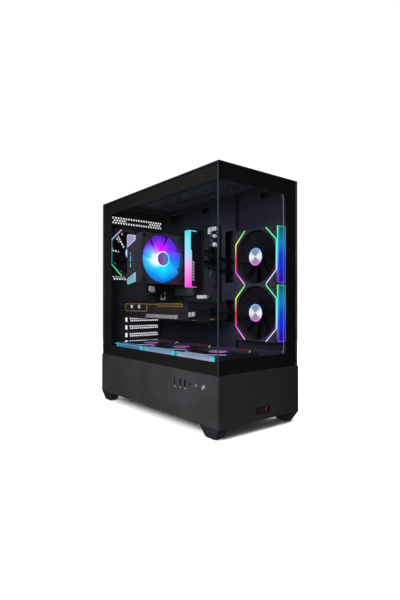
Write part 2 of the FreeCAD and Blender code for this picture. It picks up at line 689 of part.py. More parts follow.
def mainboard():
    body = new_body("board")
    holes = [(y, z, "2") for y in ("board_back - 6.35", "board_back - 163.8", "board_back - 236")
             for z in ("board_top - 6.35", "board_top - 163.8", "board_top - 234.9")]
    pad(body, "x", "board_face", BOARD_BACK_FACE,
        (BOARD_FRONT, "board_back", BOARD_LOW, "board_top"), *holes)
    node("motherboard", body)

    posts = []
    for number, (y, z, _) in enumerate(holes):
        posts.append(rod(f"standoff_{number}", "x", (BOARD_BACK_FACE, y, z), "3",
                         f"tray_level - ({BOARD_BACK_FACE})"))
    node("standoffs", group("standoff_group", posts))

    sockets = [
        box("processor_socket", ("board_face - 5", "board_face"), ("72", "122"), ("322", "375")),
        cut("card_socket_main",
            box("card_socket_block", ("board_face - 11", "board_face"), ("85", "174"),
                ("card_high - 7.7", "card_high - 0.3")),
            box("card_socket_groove", ("board_face - 11", "board_face - 3.8"), ("85.8", "172.2"),
                ("card_high - 4.85", "card_high - 3.15"))),
        box("card_socket_low", ("board_face - 11", "board_face"), ("85", "174"), ("195", "202.4")),
        box("card_socket_short", ("board_face - 11", "board_face"), ("149", "174"), ("255.5", "262.9")),
        box("power_socket", ("board_face - 13", "board_face"), ("-24", "-14.4"), ("322", "374")),
        box("sata_sockets", ("board_face - 10", "board_face"), ("-25", "-8"), ("206", "232")),
        box("header_row", ("board_face - 9", "board_face"), ("20", "150"), ("184.5", "189.5")),
        box("processor_power_socket", ("board_face - 13", "board_face"), ("188", "208"), ("405", "414.6")),
    ]
    node("board_sockets", group("socket_group", sockets))

    slots = []
    for number in range(2):
        middle = f"memory_y - {number} * memory_pitch"
        body = new_body(f"memory_slot_{number}")
        pad(body, "x", "board_face - 9", "board_face",
            (f"{middle} - 3.2", f"{middle} + 3.2", "memory_low - 5", "memory_low + memory_long + 5"))
        groove = ("board_face - 9", "board_face - 3")
        slot = box(f"memory_groove_{number}", groove, (f"{middle} - 0.75", f"{middle} + 0.75"),
                   ("memory_low - 0.2", "memory_low + memory_long + 0.2"))
        slots.append(cut(f"memory_socket_{number}", body, slot))
    node("memory_slots", group("memory_slot_group", slots))

    modules, bars = [], []
    for number in range(2):
        middle = f"memory_y - {number} * memory_pitch"
        body = new_body(f"memory_module_{number}")
        pad(body, "y", f"{middle} - 0.65", f"{middle} + 0.65",
            ("memory_face + 10", "board_face - 3.2", "memory_low", "memory_low + memory_long"))
        for low, high in ((f"{middle} - 3.6", f"{middle} - 0.65"), (f"{middle} + 0.65", f"{middle} + 3.6")):
            outline = [("memory_face + 9.2", "memory_low + 1"), ("board_face - 12", "memory_low + 1"),
                       ("board_face - 12", "memory_low + memory_long - 1"),
                       ("memory_face + 6.2", "memory_low + memory_long - 1"),
                       ("memory_face + 6.2", "memory_low + memory_step + 3.2"),
                       ("memory_face + 9.2", "memory_low + memory_step + 0.2")]
            pad(body, "y", low, high, outline)
        modules.append(body)
        bar = new_body(f"memory_bar_{number}")
        outline = [("memory_face", "memory_low - 2"), ("memory_face + 24", "memory_low - 2"),
                   ("memory_face + 24", "memory_low - 0.2"), ("memory_face + 9", "memory_low - 0.2"),
                   ("memory_face + 9", "memory_low + memory_step"),
                   ("memory_face + 6", "memory_low + memory_step + 3"),
                   ("memory_face + 6", "memory_low + memory_long + 0.2"),
                   ("memory_face + 24", "memory_low + memory_long + 0.2"),
                   ("memory_face + 24", "memory_low + memory_long + 2"),
                   ("memory_face", "memory_low + memory_long + 2")]
        pad(bar, "y", f"{middle} - 3.6", f"{middle} + 3.6", outline)
        bars.append(bar)
    node("memory_modules", group("memory_group", modules))
    node("memory_light_bars", group("memory_bar_group", bars))

    fins = new_body("regulator_fin")
    pad(fins, "z", "300", "392", [
        ("24", "216"), ("24", "204"), ("40", "196"), ("40", "188"), ("58", "188"), ("58", "170"),
        ("board_face", "170"), ("board_face", "197.4"), ("42.8", "197.4"), ("42.8", "216")])
    repeat_cut(fins, "x", "20", "V_Axis", "8", 11, ("168", "190", "304", "306.4"))
    upper = new_body("regulator_upper")
    pad(upper, "z", "403", "421", ("48", "board_face", "70", "160"))
    node("regulator_heatsinks", group("regulator_group", [fins, upper]))

    drive_sink = new_body("drive_sink")
    pad(drive_sink, "x", "board_face - 9", "board_face", ("60", "142", "262", "282"))
    repeat_cut(drive_sink, "x", "board_face - 9", "H_Axis", "6", 4, ("64", "82", "265", "266.6"))
    hub = new_body("hub_sink")
    pad(hub, "x", "board_face - 8", "board_face",
        [("5", "196"), ("62", "196"), ("62", "228"), ("40", "234"), ("5", "234")])
    node("board_heatsinks", group("board_sink_group", [drive_sink, hub]))

    shield = new_body("connector_shield")
    side, low = "board_face - 1.7 - aperture_wide + 0.2", "board_top - aperture_tall + 0.2"
    ports = [(43.2, 62, 330 + step, 344 + step) for step in (-52, -34, -16, 2, 22)]
    holes = [tuple(str(value) for value in port) for port in ports]
    pad(shield, "y", f"{BACK_INNER} - 0.6", "back_level - 0.3",
        (side, "board_face - 1.7", low, "board_top - 0.2"), *holes)
    shells = [shield]
    for number, port in enumerate(ports):
        left, right, bottom, top = port
        shell = new_body(f"rear_port_{number}")
        outer = tuple(str(v) for v in (left + 0.2, right - 0.2, bottom + 0.2, top - 0.2))
        inner = tuple(str(v) for v in (left + 1, right - 1, bottom + 1, top - 1))
        pad(shell, "y", "200", "back_level - 0.2", outer, inner)
        pad(shell, "y", "198", "200", outer)
        shells.append(shell)
    node("rear_connectors", group("rear_connector_group", shells))


# ---------------------------------------------------------------- fans


def blade_section(middle, chord, low, high, bulge, thick):
    """A thin cambered section across a blade."""
    level = f"({low} + {high}) / 2"
    return [
        (f"{middle} - {chord}", f"{low}"),
        (f"{middle}", f"{level} - {bulge}"),
        (f"{middle} + {chord}", f"{high} - {thick}"),
        (f"{middle} + {chord}", f"{high}"),
        (f"{middle}", f"{level} - {bulge} + {thick}"),
        (f"{middle} - {chord}", f"{low} + {thick}"),
    ]


def rotor(name, tip, hub, depth, blades, chord=15):
    """A fan wheel that turns about Z and faces +Z, with its back at zero: cup, shaft and blades."""
    body = new_body(f"{name}_wheel")
    pad(body, "z", f"{depth} - 2.5", depth, ("0", "0", hub))
    pad(body, "z", "1", f"{depth} - 2.5", ("0", "0", hub), ("0", "0", f"{hub} - 2"))
    pad(body, "z", "1", f"{depth} - 2.5", ("0", "0", "shaft"))
    root = blade_section("0", f"{chord} * 0.5", "2", f"{depth} - 1", "0.4", 1.6)
    end = blade_section("-8", chord, "3.5", f"{depth} - 4", "1", 1.2)
    inner = draw(body, f"{name}_root", "x", f"{hub} - 1", [root])
    outer = draw(body, f"{name}_end", "x", f"{tip} + 1", [end])
    blade = body.newObject("PartDesign::AdditiveLoft", f"{name}_blade")
    blade.Profile = inner
    blade.Sections = [outer]
    around = body.newObject("PartDesign::PolarPattern", f"{name}_blades")
    around.Originals = [blade]
    around.Axis = (origin_part(body, "Z_Axis"), [""])
    around.Angle = 360
    around.Occurrences = blades
    body.Tip = around
    disc = rod(f"{name}_reach", "z", ("0", "0", "0"), tip, depth)
    return common(f"{name}_rotor", body, disc)


def frame(name, screw_holes=True):
    """A square fan frame that faces +Z: ring, motor mount with a bearing, and four struts."""
    body = new_body(f"{name}_frame")
    half = "fan_size / 2"
    openings = [("0", "0", "fan_bore")]
    openings += [(f"{du} * fan_holes", f"{dv} * fan_holes", "screw_hole")
                 for du in (-1, 1) for dv in (-1, 1)]
    square = [(f"{a} * ({half}{b})", f"{c} * ({half}{d})") for a, b, c, d in (
        (-1, " - 4", -1, ""), (1, " - 4", -1, ""), (1, "", -1, " - 4"), (1, "", 1, " - 4"),
        (1, " - 4", 1, ""), (-1, " - 4", 1, ""), (-1, "", 1, " - 4"), (-1, "", -1, " - 4"))]
    pad(body, "z", "0", "fan_thick", square, *openings)
    for outline in (("-58", "58", "-2", "2"), ("-2", "2", "-58", "58")):
        pad(body, "z", "0", "2.5", outline)
    pad(body, "z", "0", "2.5", ("0", "0", "fan_hub"))
    bore = rod(f"{name}_bore", "z", ("0", "0", "1"), "shaft + shaft_play", "30")
    bearing = rod(f"{name}_bearing", "z", ("0", "0", "1"), "5", "12")
    return cut(f"{name}_mount", fuse(f"{name}_solid", [body, bearing]), bore)


def lights(name):
    """The light bar on a fan's side, and the two light lines that frame its face."""
    bar = box(f"{name}_bar", ("-fan_size / 2 - light_bar", "-fan_size / 2"),
              ("-58.5", "58.5"), ("0.8", "24.2"))
    pieces = [bar]
    for side in (-1, 1):
        line = new_body(f"{name}_line_{'left' if side < 0 else 'right'}")
        outline = [(f"{side} * {u}", f"{v}") for u, v in (
            (60, 31.5), (60, -31.5), (31.5, -59.6), (30.2, -58.3),
            (58.2, -30.7), (58.2, 30.7), (30.2, 58.3), (31.5, 59.6))]
        pad(line, "z", "fan_thick", "fan_thick + 1", outline)
        pieces.append(line)
    return pieces


def placed(name, piece, at, turn):
    """A copy of a drawn piece, turned and put in its place."""
    return place(group(name, piece if isinstance(piece, list) else [piece]), at, turn)


SIDE_FANS = (("lower", "side_fan_low"), ("upper", "side_fan_high"))
FLOOR_FANS = (("rear", 0), ("middle", 1), ("front", 2))


def case_fans():
    case_frame = frame("case")
    case_rotor = rotor("case", "fan_tip", "fan_hub", "21", 9, 18)
    case_lights = lights("case")
    sites = [("rear_fan", ("rear_fan_x", f"{BACK_INNER} - 0.2", "rear_fan_z"), "forward")]
    for name, z in SIDE_FANS:
        sites.append((f"side_fan_{name}", ("side_fan_face + fan_thick", "side_fan_y", z), "left"))
    for name, number in FLOOR_FANS:
        at = ("floor_fan_x", f"floor_fan_y - {number} * floor_fan_pitch", "shroud_top")
        sites.append((f"floor_fan_{name}", at, "up"))
    frames = {"rear": [], "side": [], "floor": []}
    guides = []
    step = {"forward": (0, -1, 0), "left": (-1, 0, 0), "up": (0, 0, 1)}
    for name, at, turn in sites:
        frames[name.split("_")[0]].append(placed(f"{name}_housing", case_frame, at, turn))
        guides.append(placed(f"{name}_lights", case_lights, at, turn))
        lifted = [f"{level} + {way} * 3.2" for level, way in zip(at, step[turn])]
        node(f"{name}_rotor", placed(f"{name}_wheel", case_rotor, lifted, turn))
    node("rear_fan_frame", group("rear_frames", frames["rear"]))
    node("side_fan_frames", group("side_frames", frames["side"]))
    node("floor_fan_frames", group("floor_frames", frames["floor"]))
    node("fan_light_guides", group("guides", guides))
    return case_frame


# ---------------------------------------------------------------- processor cooler


def cooler(case_frame):
    at = ("cooler_x", "cooler_front + fan_thick", "cooler_z")
    node("cooler_fan_frame", placed("cooler_housing", case_frame, at, "forward"))
    wheel = rotor("cooler", "cooler_tip", "18", "21", 7, 28)
    node("cooler_fan_rotor", placed("cooler_wheel", wheel, (at[0], f"{at[1]} - 3.2", at[2]), "forward"))

    pipes = []
    columns = ((101, 30), (113, 42), (125, 22))
    for number, (y, reach) in enumerate(columns):
        low, high = size(f"cooler_z - {reach}"), size(f"cooler_z + {reach}")
        end = size("cooler_face + 4")
        points = [(end, y, low), (53, y, low), (53, y, high), (end, y, high)]
        pipes.append(tube(f"heat_pipe_{number}", points, size("pipe"), 0.3))
    block = box("cooler_block", ("46", "board_face - 5.2"), ("94", "132"),
                ("cooler_z - 20", "cooler_z + 20"))
    node("cooler_base", fuse("cooler_base_solid", [block, *pipes]))

    fin = new_body("cooler_fin")
    holes = [(str(y), f"cooler_z + {side} * {reach}", "pipe + 0.05")
             for y, reach in columns for side in (-1, 1)]
    outline = [("cooler_front + fan_thick + 0.4", "cooler_z - 58"), ("fins_back - 6", "cooler_z - 58"),
               ("fins_back", "cooler_z - 50"), ("fins_back", "cooler_z + 50"),
               ("fins_back - 6", "cooler_z + 58"), ("cooler_front + fan_thick + 0.4", "cooler_z + 58")]
    pad(fin, "x", "cooler_face + 9", "cooler_face + 9.5", outline, *holes)
    node("cooler_fins", stack("fin_stack", fin, (2.4, 0, 0), 44))

    cover = new_body("cooler_cap")
    outline = [("cooler_front + fan_thick + 0.2", "cooler_z - 56"), ("fins_back - 4", "cooler_z - 62"),
               ("fins_back", "cooler_z - 58"), ("fins_back", "cooler_z + 58"),
               ("fins_back - 4", "cooler_z + 62"), ("cooler_front + fan_thick + 0.2", "cooler_z + 56")]
    pad(cover, "x", "cooler_face", "cooler_face + 3", outline)
    node("cooler_cover", cover)


# ---------------------------------------------------------------- graphics card


def graphics_card():
    middle = "(card_front + card_rear) / 2"
    fans = [f"{middle} + {number} * card_fan_pitch" for number in (1, 0, -1)]
    shroud = new_body("card_shell")
    outline = ("card_face", "card_inner", "card_front", "card_rear")
    across = "(card_face + card_inner) / 2"
    pad(shroud, "z", "card_low", "card_low + 2", outline, *[(across, y, "card_tip + 1.5") for y in fans])
    pad(shroud, "z", "card_low + 2", "card_high - 5", outline,
        ("card_face + 2", "card_inner - 2", "card_front + 2", "card_rear - 2"))
    repeat_cut(shroud, "y", "card_front", "H_Axis", "9", 9,
               ("card_face + 8", "card_face + 13", "card_low + 8", "card_low + 22"))
    node("card_shroud", shroud)

    wheel = rotor("card", "card_tip", "15", "11.5", 11, 8)
    for name, y in zip(("rear", "middle", "front"), fans):
        at = (across, y, "card_low + 13.7")
        node(f"card_fan_{name}_rotor", placed(f"card_fan_{name}_wheel", wheel, at, "down"))

    fin = box("card_fin", ("card_face + 4", "card_inner - 4"), ("card_front + 5", "card_front + 5.6"),
              ("card_low + 15.5", "card_high - 7"))
    fins = stack("card_fins", fin, (0, 3.4, 0), 80)
    plate = box("card_plate", ("card_face + 4", "card_inner - 4"), ("card_front + 5", "card_rear - 4"),
                ("card_high - 7", "card_high - 5"))
    node("card_heatsink", group("card_heatsink_group", [fins, plate]))

    board = new_body("card_circuit")
    level = "card_high - 4.8"
    pad(board, "z", level, f"{level} + board_thick", [
        ("card_face + 4", "card_front + 6"), ("board_face - 13", "card_front + 6"),
        ("board_face - 13", "86"),
        ("board_face - 4", "86"), ("board_face - 4", "172"), ("board_face - 13", "172"),
        ("board_face - 13", "card_rear + 2"), ("card_face + 4", "card_rear + 2")])
    node("card_circuit_board", board)

    plate = new_body("card_backplate")
    pad(plate, "z", "card_high - 2.4", "card_high",
        [("card_face", "card_front"), ("card_inner", "card_front"),
         ("card_inner", "card_rear"), ("card_face", "card_rear")],
        ("card_face + 20", "card_inner - 20", "card_front + 12", "card_front + 60"))
    node("card_backplate", plate)

    bracket = new_body("card_bracket_plate")
    low, high = "slot_low + 4 * slot_pitch - cover_half", "slot_low + 5 * slot_pitch + cover_half"
    ports = [(f"{x}", f"{x + 18}", "slot_low + 5 * slot_pitch - 3.2", "slot_low + 5 * slot_pitch + 3.2")
             for x in (-26, -3, 20)]
    pad(bracket, "y", f"{BACK_INNER} - 1.1", f"{BACK_INNER} - 0.1", ("-50", "62", low, high), *ports)
    repeat_cut(bracket, "y", BACK_INNER, "H_Axis", "8", 10,
               ("-26", "-21", "slot_low + 4 * slot_pitch - 5", "slot_low + 4 * slot_pitch + 5"))
    node("card_bracket", bracket)


# ---------------------------------------------------------------- power supply


def power_supply():
    left, right = "supply_left", "supply_left + supply_wide"
    low, high = "supply_low", "supply_low + supply_tall"
    front, back = f"{BACK_INNER} - 0.3 - supply_long", f"{BACK_INNER} - 0.3"
    centre = ("supply_left + supply_wide / 2", f"{front} + supply_long / 2")
    inlet = ("36", "64", f"{low} + 30", f"{low} + 51")
    switch = ("42", "58", f"{low} + 60", f"{low} + 74")
    case = new_body("supply_shell")
    pad(case, "z", low, f"{low} + metal", (left, right, front, back), (*centre, "supply_tip + 2"))
    for outline in (("-60", "60", "-1.5", "1.5"), ("-1.5", "1.5", "-60", "60")):
        bar = (f"{centre[0]} + {outline[0]}", f"{centre[0]} + {outline[1]}",
               f"{centre[1]} + {outline[2]}", f"{centre[1]} + {outline[3]}")
        pad(case, "z", low, f"{low} + metal", bar)
    pad(case, "z", f"{low} + metal", f"{high} - metal", (left, right, front, back),
        (f"{left} + metal", f"{right} - metal", f"{front} + metal", f"{back} - metal"))
    pad(case, "z", f"{high} - metal", high, (left, right, front, back))
    openings = [box("inlet_opening", inlet[:2], (f"{back} - metal - 1", f"{back} + 1"), inlet[2:]),
                box("switch_opening", switch[:2], (f"{back} - metal - 1", f"{back} + 1"), switch[2:])]
    middle = (size(left) + 52, size(low) + size("supply_tall") / 2)
    inside = lambda du, dv: abs(du) < 46 and abs(dv) < 36
    vents = punches("supply_vents", "y", size(back) - 2.5, size(back) + 1,
                    honeycomb(*middle, 50, size("mesh_pitch"), inside), size("mesh_hole"))
    node("supply_case", cut("supply_pierced", case, group("supply_tools", [*openings, vents])))

    wheel = rotor("supply", "supply_tip", "20", "19", 9)
    node("supply_fan_rotor", placed("supply_wheel", wheel, (*centre, f"{low} + 23"), "down"))

    socket = new_body("inlet_socket")
    outer = ("36.2", "63.8", f"{low} + 30.2", f"{low} + 50.8")
    cavity = ("38.2", "61.8", f"{low} + 32.6", f"{low} + 48.6")
    pad(socket, "y", f"{back} - 17", f"{back} + 1.2", outer, cavity)
    pad(socket, "y", f"{back} - 19", f"{back} - 17", outer)
    for x, z in ((43, 41.5), (57, 41.5), (50, 45.2)):
        pad(socket, "y", f"{back} - 17", f"{back} - 2",
            (f"{x} - 1", f"{x} + 1", f"{low} + {z} - 2", f"{low} + {z} + 2"))
    node("mains_inlet", socket)

    rocker = new_body("rocker")
    pivot_z = f"{low} + 67"
    pad(rocker, "x", "43.5", "56.5", [
        (f"{back} - 7", f"{pivot_z} - 5.2"), (f"{back} - 1", f"{pivot_z} - 6.2"),
        (f"{back} - 0.4", pivot_z), (f"{back} + 1.2", f"{pivot_z} + 5.5"),
        (f"{back} - 7", f"{pivot_z} + 5.2")])
    pivot = rod("rocker_pivot", "x", ("42.6", f"{back} - 4", pivot_z), "1.2", "14.8")
    node("supply_switch", fuse("rocker_on_pivot", [rocker, pivot]))


# ---------------------------------------------------------------- filters, cables and screws


def supply_filter():
    body = new_body("supply_filter_tray")
    pad(body, "z", "foot_height - 3.6", "foot_height - 2.4", ("-76.6", "76.6", "64", "back_level"))
    pad(body, "z", "foot_height - 2.4", "foot_height - 0.6", ("-76.6", "76.6", "64", "back_level"),
        ("-70", "70", "70", "back_level - 10"))
    slots = [("-66", "-3", "76", "84"), ("3", "66", "76", "84")]
    repeat_cut(body, "z", "foot_height - 3", "V_Axis", "12", 11, *slots)
    return node("supply_dust_filter", body)


def cables():
    plug = box("main_plug", ("44", "board_face - 13"), ("-24.4", "-14"), ("321.5", "374.5"))
    mains = []
    for high in (362, 336):
        points = [(44, -19, high), (26, -20, high), (12, -38, high - 6),
                  (24, -60, high - 16), (56, -62, high - 22), (86, -56, high - 24)]
        mains.append(tube(f"main_cable_{high}", points, 5))
    card_plug = box("card_plug", ("-6", "16"), ("card_front - 9", "card_front - 0.1"),
                    ("card_low + 12", "card_low + 26"))
    points = [(5, -81, 224.5), (5, -100, 224.5), (20, -118, 223), (42, -106, 222),
              (52, -80, 222), (68, -60, 223), (86, -54, 224)]
    card_lead = tube("card_cable", points, 4)
    node("power_cables", group("cable_group", [plug, *mains, card_plug, card_lead]))


def screws():
    """Thumbscrews and screw heads on the rear panel: round heads, flush with the base's rear edge."""
    places = [(SIDE_SCREW_X, z) for z in SIDE_SCREWS]
    places += [(x, z) for x in ("-80", "78") for z in ("30", "100")]
    places += [("-54", f"slot_low + {slot} * slot_pitch") for slot in SLOTS]
    heads = [rod(f"screw_{number}", "y", (x, "back_level", z), "head", f"{BACK} - back_level")
             for number, (x, z) in enumerate(places)]
    node("rear_screws", group("screw_group", heads))


def main():
    bottom_pan()
    rear_panel()
    motherboard_tray()
    supply_shroud()
    top_cover()
    top_filter()
    base_panels()
    upper_side_panel()
    glass()
    feet()
    slot_covers()
    controls()
    mainboard()
    cooler(case_fans())
    graphics_card()
    power_supply()
    supply_filter()
    cables()
    screws()
    doc.recompute()

    for thing in doc.Objects:
        if "Invalid" in thing.State or "Error" in thing.State:
            raise RuntimeError(f"{thing.Label} failed: {thing.State}")
    for piece in nodes:
        if piece.Shape.isNull() or not piece.Shape.isValid() or not piece.Shape.Solids:
            raise RuntimeError(f"{piece.Label} has no valid solid")

    os.makedirs("parts", exist_ok=True)
    for piece in nodes:
        piece.Shape.exportStep(f"parts/{piece.Label}.step")
    print(len(nodes), "nodes")


main()
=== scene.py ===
"""The looks of the desktop computer tower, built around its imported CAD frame."""

import math
import random

import bmesh
import bpy
from mathutils import Matrix, Vector


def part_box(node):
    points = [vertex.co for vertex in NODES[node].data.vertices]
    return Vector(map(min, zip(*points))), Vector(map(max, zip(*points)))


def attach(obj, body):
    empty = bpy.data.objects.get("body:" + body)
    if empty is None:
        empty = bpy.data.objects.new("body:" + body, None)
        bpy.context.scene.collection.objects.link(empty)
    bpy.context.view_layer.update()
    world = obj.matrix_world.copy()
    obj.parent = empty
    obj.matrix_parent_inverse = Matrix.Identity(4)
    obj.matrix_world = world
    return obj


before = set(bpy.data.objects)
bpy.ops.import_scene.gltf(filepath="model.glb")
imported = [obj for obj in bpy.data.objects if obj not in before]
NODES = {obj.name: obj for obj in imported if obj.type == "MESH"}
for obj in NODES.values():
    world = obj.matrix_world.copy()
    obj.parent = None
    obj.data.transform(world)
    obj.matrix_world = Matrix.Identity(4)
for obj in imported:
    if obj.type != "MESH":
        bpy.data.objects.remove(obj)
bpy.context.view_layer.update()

MM = 0.001
LOOK_LEFT = (-1, 0, 0)
LOOK_FRONT = (0, -1, 0)
LOOK_UP = (0, 0, 1)
LOOK_DOWN = (0, 0, -1)
BASE = "chassis"


def edges_mm(name):
    """A CAD node's box in millimetres: low x, high x, low y, high y, low z, high z."""
    low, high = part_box(name)
    return [value / MM for pair in zip(low, high) for value in pair]


# --- shader helpers


def material(name):
    made = bpy.data.materials.new(name)
    made.use_nodes = True
    made.node_tree.nodes.clear()
    return made, made.node_tree


def add(tree, kind, sockets=None, **settings):
    """A node of that kind, its settings set and its sockets linked or given a value."""
    made = tree.nodes.new("ShaderNode" + kind)
    for key, value in settings.items():
        setattr(made, key, value)
    for key, value in (sockets or {}).items():
        if isinstance(value, bpy.types.NodeSocket):
            tree.links.new(value, made.inputs[key])
        else:
            made.inputs[key].default_value = value
    return made


def place(tree):
    """Where a point is in its own piece: the row frame for most pieces, in metres."""
    return add(tree, "TexCoord").outputs["Object"]


def axis(tree, letter):
    return add(tree, "SeparateXYZ", {"Vector": place(tree)}).outputs[letter]


def noise(tree, scale, detail=3.0, stretch=None):
    """Noise from 0 to 1 with so many features to the metre, stretched along the axes if asked."""
    source = place(tree)
    if stretch:
        source = add(tree, "Mapping", {"Vector": source, "Scale": stretch}).outputs["Vector"]
    return add(tree, "TexNoise", {"Vector": source, "Scale": scale, "Detail": detail}).outputs["Fac"]


def spread(tree, value, low, high, start=0.0, end=1.0):
    """value from start to end, moved to low to high and held there beyond."""
    sockets = {"Value": value, "From Min": start, "From Max": end, "To Min": low, "To Max": high}
    return add(tree, "MapRange", sockets).outputs["Result"]


def maths(tree, what, first, second=0.0):
    return add(tree, "Math", {0: first, 1: second}, operation=what).outputs["Value"]


def blend_colours(tree, share, first, second):
    """first where share is 0 and second where it is 1."""
    made = add(tree, "Mix", {"Factor": share}, data_type="RGBA")
    for slot, colour in ((6, first), (7, second)):
        if isinstance(colour, bpy.types.NodeSocket):
            tree.links.new(colour, made.inputs[slot])
        else:
            made.inputs[slot].default_value = (*colour, 1)
    return made.outputs[2]


def ramp(tree, value, stops):
    """A colour ramp: stops are (place from 0 to 1, colour)."""
    made = add(tree, "ValToRGB", {"Fac": value})
    points = made.color_ramp.elements
    while len(points) < len(stops):
        points.new(0.5)
    for point, (at, colour) in zip(points, stops):
        point.position = at
    for point, (at, colour) in zip(points, stops):
        point.color = (*colour, 1)
    return made.outputs["Color"]


def bump(tree, height, depth, strength=1.0):
    """A normal from a height of 0 to 1, depth metres high."""
    return add(tree, "Bump", {"Height": height, "Distance": depth, "Strength": strength}).outputs["Normal"]


def finished(made, tree, shader):
    add(tree, "OutputMaterial", {"Surface": shader})
    return made


def coating(name, dark, light, rough, grain, depth, metal=0.0, stretch=None, specular=0.5):
    """A solid finish: colour clouded from dark to light, roughness that wanders, and a fine grain."""
    made, tree = material(name)
    cloud = noise(tree, 14, 4, stretch)
    speckle = noise(tree, grain, 2, stretch)
    colour = blend_colours(tree, spread(tree, cloud, 0, 1, 0.3, 0.7), dark, light)
    surface = add(tree, "BsdfPrincipled", {
        "Base Color": colour,
        "Roughness": spread(tree, noise(tree, 55, 3, stretch), rough[0], rough[1], 0.3, 0.7),
        "Normal": bump(tree, speckle, depth),
        "Metallic": metal,
        "Specular IOR Level": specular,
    })
    return finished(made, tree, surface.outputs["BSDF"])


def clear_glass(name, tint, shine=1.5):
    """A pane that lets lamps through: what is behind it, and by Fresnel what it mirrors."""
    made, tree = material(name)
    streak = noise(tree, 6, 2)
    colour = blend_colours(tree, streak, tint, [0.97 * value for value in tint])
    behind = add(tree, "BsdfTransparent", {"Color": colour})
    mirror = add(tree, "BsdfGlossy", {"Color": (1, 1, 1, 1), "Roughness": 0.02})
    leaving = add(tree, "NewGeometry").outputs["Backfacing"]
    outer_face = maths(tree, "SUBTRACT", 1.0, leaving)
    share = maths(tree, "MULTIPLY", add(tree, "Fresnel", {"IOR": shine}).outputs["Fac"], outer_face)
    mixed = add(tree, "MixShader", {0: share, 1: behind.outputs["BSDF"], 2: mirror.outputs["BSDF"]})
    return finished(made, tree, mixed.outputs["Shader"])


GUIDE_BODY = (0.08, 0.08, 0.09)


def lit(name, letter, low, high, stops, strength, body=GUIDE_BODY, rough=0.35):
    """A lit plastic guide whose colour runs along one axis from low to high millimetres."""
    made, tree = material(name)
    along = spread(tree, axis(tree, letter), 0, 1, low * MM, high * MM)
    colour = ramp(tree, along, stops)
    ripple = spread(tree, noise(tree, 320, 2), rough - 0.08, rough + 0.08)
    surface = add(tree, "BsdfPrincipled", {
        "Base Color": (*body, 1),
        "Roughness": ripple,
        "Emission Color": colour,
        "Emission Strength": strength,
    })
    return finished(made, tree, surface.outputs["BSDF"])


# --- colours of light

RED = (1.0, 0.02, 0.03)
ORANGE = (1.0, 0.25, 0.01)
YELLOW = (0.75, 0.85, 0.02)
GREEN = (0.08, 0.85, 0.12)
SEA = (0.03, 0.8, 0.42)
TEAL = (0.0, 0.62, 0.58)
CYAN = (0.06, 0.75, 0.9)
SKY = (0.25, 0.7, 1.0)
AZURE = (0.0, 0.3, 1.0)
BLUE = (0.01, 0.07, 1.0)
VIOLET = (0.2, 0.03, 0.95)
PURPLE = (0.4, 0.02, 0.9)
MAGENTA = (1.0, 0.02, 0.75)
PINK = (1.0, 0.25, 0.75)
LAVENDER = (0.55, 0.5, 1.0)
WHITE = (1.0, 1.0, 1.0)

# --- finishes

# how deep a coating's grain is, in metres
SMOOTH, SATIN, TEXTURED, COARSE = 0.00001, 0.00002, 0.00003, 0.00006

steel = coating("coated_steel", (0.020, 0.020, 0.022), (0.030, 0.030, 0.033), (0.36, 0.48), 2600, SATIN)
# Painted light: the inside steel is the same black as the outside, and its bluish-purple tint stands in for the
# fans' coloured glow falling on it.
inner_steel_painted_tint = coating("inner_steel_painted_tint", (0.018, 0.017, 0.028), (0.03, 0.028, 0.046),
    (0.3, 0.42), 2600, SATIN)
black_plastic = coating("black_plastic", (0.010, 0.010, 0.013), (0.018, 0.018, 0.023),
    (0.4, 0.55), 1800, TEXTURED)
# Painted light: the fan frames are black plastic, and their lighter, bluish tone stands in for the fans' glow on
# them.
fan_frame = coating("fan_frame", (0.022, 0.021, 0.03), (0.034, 0.032, 0.046),
    (0.42, 0.56), 1800, TEXTURED)
rubber = coating("rubber", (0.008, 0.008, 0.008), (0.016, 0.016, 0.016), (0.75, 0.9), 900, COARSE)
blades = coating("fan_blades", (0.004, 0.004, 0.006), (0.008, 0.007, 0.012),
    (0.42, 0.56), 700, SMOOTH, specular=0.3)
anodised = coating("anodised_black", (0.014, 0.014, 0.017), (0.024, 0.024, 0.028),
    (0.3, 0.42), 3000, SATIN, 0.6,
    stretch=(1, 0.08, 1))
aluminium = coating("bare_aluminium", (0.42, 0.43, 0.45), (0.6, 0.61, 0.63),
    (0.25, 0.4), 2400, SMOOTH, 1.0,
    stretch=(1, 1, 0.06))
plated = coating("plated_steel", (0.45, 0.45, 0.46), (0.62, 0.61, 0.6), (0.22, 0.36), 900, SMOOTH, 1.0)
copper = coating("copper", (0.55, 0.27, 0.17), (0.75, 0.42, 0.28), (0.2, 0.34), 1200, SMOOTH, 1.0)
ceramic = coating("printed_border", (0.0075, 0.0072, 0.0065), (0.010, 0.0096, 0.0088),
    (0.45, 0.6), 1500, SMOOTH, specular=0.1)
brass = coating("brass", (0.45, 0.27, 0.1), (0.65, 0.42, 0.18), (0.25, 0.4), 1500, SMOOTH, 1.0)
silver_paint = coating("silver_paint", (0.46, 0.45, 0.58), (0.62, 0.61, 0.74),
    (0.3, 0.42), 2200, SMOOTH, 0.2)
gilt = coating("gilt_trim", (0.42, 0.23, 0.06), (0.62, 0.38, 0.13), (0.3, 0.42), 1600, SMOOTH, 0.35)
grey_print = coating("grey_print", (0.30, 0.29, 0.28), (0.42, 0.40, 0.39), (0.4, 0.55), 1600, SMOOTH)
# Painted highlight: a pale bluish tone for black steel edges that catch the light.
edge_painted_highlight = coating("edge_painted_highlight", (0.20, 0.19, 0.27), (0.34, 0.32, 0.44), (0.35, 0.5), 1600, SMOOTH, 0.3)
